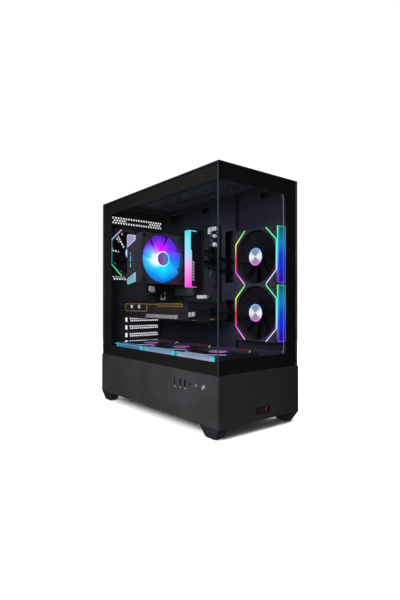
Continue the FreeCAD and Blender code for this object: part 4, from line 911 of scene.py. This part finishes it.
def board_covers():
    """The dark covers by the rear connectors, with their polished trim and a metal ring, pale with painted
    light.
    """
    shape = Shape(anodised, silver_paint, pale_plastic)
    outer_x, inner_x = 24, 60
    shape.block((outer_x, 42.6), (180, 215.5), (266, 299.6), 1.0, 0)
    shape.block((inner_x, 67.9), (148, 197), (265.5, 298), 0.8, 0)
    shape.prism([(-214.5, 289), (-214.5, 275), (-198, 272.5), (-183, 272.5), (-183, 286), (-196, 289)],
                PROUD, 0.8, facing(LOOK_LEFT, (outer_x, 0, 0)), 0.25, 1)
    for k in range(4):
        shape.block((outer_x - 0.6, outer_x + 0.1), (186 + 7 * k, 188.4 + 7 * k), (292, 298.4), 0.2, 0)
    face = facing(LOOK_LEFT, (inner_x - 0.5, 0, 0))
    # Painted light: the ring is metal and sits in shade under the cooler; its pale plastic tone stands in for
    # the brightness it shows.
    ring_low, ring_high = 251, 273
    for u, v in (((-190, -184), (ring_low, ring_high)), ((-209, -203), (ring_low, ring_high)),
                 ((-203, -190), (ring_high - 5, ring_high)), ((-203, -190), (ring_low, ring_low + 5))):
        shape.plate(u, v, (0, 1), face, 0.25, 2)
    for k in range(5):
        shape.block((inner_x - 0.5, inner_x + 0.1), (152 + 8.4 * k, 154 + 8.4 * k), (268, 296), 0.2, 0)
    shape.build("board_covers")


board_components()
board_covers()

# --- graphics card


def card_details():
    """Brass trim, fin ends, power socket and plain stripes along the card's open edge."""
    x0, _, y0, y1, _, _ = edges_mm("card_shroud")
    fins = coating("card_fin_ends", (0.06, 0.045, 0.03), (0.11, 0.085, 0.055), (0.3, 0.45), 1800, SMOOTH, 0.7)
    shape = Shape(gilt, fins, pale_plastic, black_plastic, anodised, grey_print)
    turn = facing(LOOK_LEFT, (x0, 0, 0))

    def frame_line(y_low, y_high, z_low, z_high, wide):
        across = (-y_high, -y_low)
        for u, v in ((across, (z_high - wide, z_high)), (across, (z_low, z_low + wide)),
                     ((-(y_low + wide), -y_low), (z_low, z_high)),
                      ((-y_high, -(y_high - wide)), (z_low, z_high))):
            shape.plate(u, v, (PROUD, 0.7), turn, 0.15, 0)

    frame_line(88, 190, 222.5, 241.5, 1.3)
    frame_line(-54, 41, 235.5, 241.5, 1.0)
    shape.plate((-88, -41), (239.6, 240.8), (PROUD, 0.6), turn, 0.15, 0)
    for y in (160, 124):
        shape.plate((-y - 4.5, -y + 4.5), (230, 238), (PROUD, 0.5), turn, 0.15, 2)
    for k in range(62):
        y = 84 - 2.4 * k
        shape.plate((-y, -y + 1.1), (223, 234.6 if y < 42 else 238.6), (PROUD, 0.9), turn, 0.1, 1)
    for z in (206, 218.5):
        shape.plate((-y1 + 3, -y0 - 3), (z, z + 0.8), (PROUD, 0.5), turn, 0.1, 4)
    shape.prism([(-y1 + 6, 210.6), (-186, 210.6), (-180, 217.6), (-y1 + 6, 217.6)], PROUD, 0.6, turn, 0.15, 4)
    stripe_low, stripe_high, stripe_pitch = 208.4, 216.8, 4.8
    for k in range(27):
        u = -94 + stripe_pitch * k
        shape.prism([(u, stripe_low), (u + 2.4, stripe_low), (u + 4.9, stripe_high), (u + 2.5, stripe_high)],
                    PROUD, 0.35, turn, 0.08, 5)
    front = facing(LOOK_FRONT, (0, y0, 0))
    for u, v, high, edge, tone in (
        ((-58, -50.5), (213.5, 223.5), 1.2, 0.3, 2),
        ((-49, -42), (215, 223.5), 2.2, 0.4, 2),
        ((-50, -34), (205.8, 207), 0.8, 0.15, 0),
        ((2, 13), (205.8, 208.5), 1.4, 0.3, 0),
        ((-38, 44), (236, 237.4), 0.6, 0.15, 4),
    ):
        shape.plate(u, v, (PROUD, high), front, edge, tone)
    backplate_top = edges_mm("card_backplate")[5]
    screw = [(0, PROUD), (0, 0.3), (0.9, 0.3), (1.1, 0.7), (2.3, 0.6), (2.6, PROUD)]
    for y in (-60, 0, 60, 120, 180):
        for x in (-52, 44):
            shape.lathe(screw, facing(LOOK_UP, (x, y, backplate_top)), 18, 4)
    shape.build("card_details")


card_details()

# --- chassis sheet metal


def pressed_lines():
    """Raised beads, creases and screws pressed into the tray and the fan bracket."""
    shape = Shape(inner_steel_painted_tint, plated)
    x_tray, x_bracket, *_ = edges_mm("motherboard_tray")
    x_bracket -= 1.3
    bracket_edge_y = -72
    bracket_runs = [
        [(-77, 414), (-79, 419), (-86, 420.8), (-190, 420.8), (-200, 423.5), (-203.7, 431), (-203.7, 440)],
        [(-76, 451.3), (-216, 451.3)],
    ]
    lower_run = [
        (-77, 154), (-79, 148.5), (-86, 146.5), (-190, 146.5), (-200, 143.5), (-204, 136), (-204, 127)]
    for x, run in (
        *((x_bracket, run) for run in bracket_runs),
        (x_tray, [(214, 451.3), (-68, 451.3)]),
        (x_bracket, lower_run),
        (x_tray, [(-30, 176), (60, 176), (210, 176)]),
    ):
        shape.tube([(x, y, z) for y, z in run], 1.5, 10, 0)
    screw = [(0, PROUD), (0, 0.4), (1.0, 0.4), (1.3, 1.1), (2.6, 0.9), (3.0, PROUD)]
    for y, z in ((-98, 460), (-150, 460), (-204, 455), (-70, 470), (60, 472), (110, 472), (-76.5, 300),
                 (-76.5, 200)):
        spot = facing(LOOK_LEFT, (x_bracket if y < bracket_edge_y else x_tray, y, z))
        shape.lathe(screw, spot, 20, 1)
    shape.build("pressed_lines")


def ceiling_rails():
    """The raised rails and screws under the top cover, and strips at the cut edges of its slots, pale with
    painted highlight.
    """
    low = edges_mm("top_cover")[5] - 2
    shape = Shape(inner_steel_painted_tint, plated, slot_painted_highlight)
    slot_rows, slot_pitch, first_row = 46, 8, -191
    # a pale strip along each row of slots, its tone painted highlight
    for row in range(slot_rows):
        y = first_row + slot_pitch * row
        for x in ((-88, -32), (-26, 30), (36, 72)):
            shape.block(x, (y - 0.1, y + 0.7), (low - 0.35, low - PROUD), 0.1, 2)
    for x in (-92, -29, 33, 74):
        shape.block((x - 1.6, x + 1.6), (-198, 196), (low - 1.4, low - PROUD), 0.5, 0)
    screw = [(0, PROUD), (0, 0.5), (1.0, 0.5), (1.3, 1.3), (2.4, 1.1), (2.8, PROUD)]
    for y in (-158, -96, -34, 28, 90, 152):
        for x in (20, 39):
            shape.lathe(screw, facing(LOOK_DOWN, (x, y, low)), 18, 1)
    shape.build("ceiling_rails")


def pillar_edge():
    """The folded steel edge that shows along the far side of the front window: its pale bluish tone is painted
    highlight.
    """
    shape = Shape(edge_painted_highlight)
    y = edges_mm("front_glass")[3] + 3.2
    x = FRONT_WINDOW_RIGHT - 3.5
    shape.tube([(x - 6, y, WINDOW_HIGH - 4), (x - 1.5, y, WINDOW_HIGH - 6), (x, y, WINDOW_HIGH - 12),
                (x, y, WINDOW_LOW + 14), (x - 1.5, y, WINDOW_LOW + 8), (x - 6, y, WINDOW_LOW + 6)],
               1.0, 10, 0)
    shape.build("pillar_edge")


pressed_lines()
ceiling_rails()
pillar_edge()

# --- dust filters


def rim_strips(u, v, wide):
    """The four strips of a rectangular rim, as pairs of ranges."""
    (a, b), (c, d) = u, v
    return ((u, (c, c + wide)), (u, (d - wide, d)),
            ((a, a + wide), (c + wide, d - wide)), ((b - wide, b), (c + wide, d - wide)))


def top_filter_mesh():
    """A woven screen in a raised rim, over the magnetic top filter."""
    x0, x1, y0, y1, _, z1 = edges_mm("top_dust_filter")
    shape = Shape(black_plastic, blades)
    rim, wire, pitch, lift = 6.0, 0.34, 2.4, 0.01
    for x_range, y_range in rim_strips((x0, x1), (y0, y1), rim):
        shape.block(x_range, y_range, (z1 + lift, z1 + 0.5), 0.2, 0)
    x = x0 + rim + pitch
    while x < x1 - rim - 0.5:
        shape.block((x - wire, x + wire), (y0 + rim, y1 - rim), (z1 + lift, z1 + 0.25), 0, 1)
        x += pitch
    y = y0 + rim + pitch
    while y < y1 - rim - 0.5:
        shape.block((x0 + rim, x1 - rim), (y - wire, y + wire), (z1 + lift, z1 + 0.32), 0, 1)
        y += pitch
    shape.build("top_filter_mesh", "top_dust_filter")


def side_filter():
    """The fine nylon screen behind the side panel's vents: dark, and thin enough to pass some light."""
    panel_x = edges_mm("right_side_panel")[1]
    shape = Shape(side_screen, black_plastic)
    y_range, z_range, rim = (-209.5, -85.5), (160, 404), 4
    shape.plate(
        (-y_range[1], -y_range[0]), z_range, (0.1, 0.3), facing(LOOK_LEFT, (panel_x - 1.3, 0, 0)), 0, 0)
    bar = ((y_range[0] + rim, y_range[1] - rim), (280, 284))
    for y, z in (*rim_strips(y_range, z_range, rim), bar):
        shape.block((panel_x - 2.9, panel_x - 1.6), y, z, 0.3, 1)
    shape.build("side_panel_filter", "right_side_panel")


top_filter_mesh()
side_filter()

# --- controls and badge

button_light = lit("button_light", "Z", 80, 100, [
    (0.0, (0.5, 0.52, 0.7)), (1.0, (0.7, 0.72, 0.9))], 0.3, (0.1, 0.1, 0.12))
reset_finish = coating("reset_grey", (0.10, 0.10, 0.11), (0.18, 0.18, 0.2), (0.3, 0.45), 1200, SMOOTH)
for name, finish in (("power_button", button_light), ("reset_button", reset_finish)):
    NODES[name].data.materials.clear()
    NODES[name].data.materials.append(finish)


def control_details():
    """Tongues of the sockets, the fast one's in blue, a bezel round the jack, and plain marks."""
    _, _, _, y1, z0, z1 = edges_mm("usb_sockets")
    outer = edges_mm("left_base_panel")[0]
    shape = Shape(black_plastic, blue_plastic, pale_plastic)
    turn = facing(LOOK_LEFT, (outer, 0, 0))
    for k, y in enumerate((y1 - 2.85, y1 - 20.25, y1 - 35.35)):
        tongue = 1 if k == 0 else 0
        shape.block((outer + 1, outer + 9), (y - 1.8, y - 0.3), (z0 + 1.6, z1 - 1.6), 0.3, tongue)
        for offset in (-1.1, 0, 1.1):
            mark = -y + offset
            shape.plate((mark - 0.3, mark + 0.3), (z0 - 4.5, z0 - 3.2), (0.01, 0.06), turn, 0, 2)
    spot = facing(LOOK_LEFT, (outer, middle_mm("audio_jack").y, (z0 + z1) / 2))
    shape.lathe([(2.0, 0.02), (2.1, 0.25), (3.1, 0.25), (3.3, 0.02)], spot, 32, 0)
    shape.build("control_details")


def badge_details():
    """A small generic badge: three brushed bars and a red one."""
    x0, _, y0, _, z0, z1 = edges_mm("front_badge")
    shape = Shape(plated, red_paint)
    turn = facing(LOOK_FRONT, (0, y0, 0))
    middle = (z0 + z1) / 2

    def slanted_bar(left, low, long, tall, lean, tone):
        right, high = left + long, low + tall
        shape.prism([(left, low), (right, low), (right + lean, high), (left + lean, high)],
                    0.01, 0.18, turn, 0.05, tone)

    for k in range(3):
        slanted_bar(x0 + 4 + k, middle - 3.6 + 2.7 * k, 15, 1.5, 1, 0)
    slanted_bar(x0 + 23.5, middle - 4, 3, 8, 4, 1)
    shape.build("badge_details")


control_details()
badge_details()

# --- stage, light and camera


LAMPS = (
    ("key", (-0.82, -0.34, 0.60), (0, -0.06, 0.22), 0.5, 15),
    ("low", (-0.80, -0.36, 0.04), (0, -0.12, 0.3), 0.3, 4),
    ("corner", (-0.25, -0.5, 0.02), (-0.1, -0.22, 0.03), 0.08, 0.35),
    ("right", (1.5, 0.1, 0.8), (0.1, 0, 0.25), 0.9, 22),
    ("back", (0.5, 1.6, 0.8), (0, 0.2, 0.25), 0.9, 26),
)


def lamp(name, at, target, side, power):
    """A soft square lamp that neither the camera nor a mirroring pane sees."""
    data = bpy.data.lights.new(name, "AREA")
    data.shape = "RECTANGLE"
    data.size, data.size_y, data.energy = side, side, power
    made = bpy.data.objects.new(name, data)
    made.location = at
    made.rotation_euler = (Vector(target) - Vector(at)).to_track_quat("-Z", "Y").to_euler()
    made.visible_camera = False
    made.visible_glossy = False
    bpy.context.scene.collection.objects.link(made)


def studio():
    """A pale floor, soft light from above and from the lamps, and a white backdrop."""
    floor_mesh = bpy.data.meshes.new("floor")
    reach = 6.0
    floor_mesh.from_pydata([(-reach, -reach, 0), (reach, -reach, 0), (reach, reach, 0), (-reach, reach, 0)],
                           [], [(0, 1, 2, 3)])
    floor = bpy.data.objects.new("floor", floor_mesh)
    bpy.context.scene.collection.objects.link(floor)
    made, tree = material("pale_floor")
    surface = add(tree, "BsdfPrincipled", {
        "Base Color": blend_colours(tree, noise(tree, 3), (0.9, 0.9, 0.9), (0.93, 0.93, 0.93)),
        "Roughness": 0.85, "Specular IOR Level": 0.1})
    floor_mesh.materials.append(finished(made, tree, surface.outputs["BSDF"]))
    floor.visible_glossy = False
    floor.visible_diffuse = False

    sun_data = bpy.data.lights.new("overhead", "SUN")
    sun_data.energy, sun_data.angle = 3.3, math.radians(50)
    sun = bpy.data.objects.new("overhead", sun_data)
    bpy.context.scene.collection.objects.link(sun)

    for settings in LAMPS:
        lamp(*settings)

    world = bpy.data.worlds.new("studio")
    world.use_nodes = True
    tree = world.node_tree
    tree.nodes.clear()
    way = add(tree, "SeparateXYZ", {"Vector": add(tree, "TexCoord").outputs["Generated"]})
    dim = ramp(tree, spread(tree, way.outputs["Z"], 0, 1, -1, 1), [
        (0.0, (0.06, 0.06, 0.06)), (0.45, (0.02, 0.02, 0.021)), (0.6, (0.02, 0.02, 0.021)),
        (1.0, (0.2, 0.2, 0.21))])
    corner = maths(tree, "MINIMUM", way.outputs["X"], way.outputs["Y"])
    dim = blend_colours(tree, spread(tree, corner, 0, 1, 0.05, 0.6), dim, (0.7, 0.7, 0.71))
    studio_light = add(tree, "Background", {"Color": dim, "Strength": 1.0})
    backdrop = add(tree, "Background", {"Color": (1, 1, 1, 1), "Strength": 1.05})
    seen = add(tree, "LightPath").outputs["Is Camera Ray"]
    mixed = add(tree, "MixShader", {
        0: seen, 1: studio_light.outputs["Background"], 2: backdrop.outputs["Background"]})
    add(tree, "OutputWorld", {"Surface": mixed.outputs["Shader"]})
    bpy.context.scene.world = world
    bpy.context.scene.view_settings.view_transform = "Standard"


def camera():
    """The photograph's viewpoint: its place, turn and lens were fitted to the tower's corners."""
    data = bpy.data.cameras.new("camera")
    data.lens = 25.70
    data.sensor_width = 36.0
    data.clip_start, data.clip_end = 0.01, 50
    made = bpy.data.objects.new("camera", data)
    made.location = (-0.6048, -0.7841, 0.2443)
    made.rotation_euler = (math.radians(90 + 0.325), 0, -math.radians(39.03))
    bpy.context.scene.collection.objects.link(made)
    bpy.context.scene.camera = made


studio()
camera()
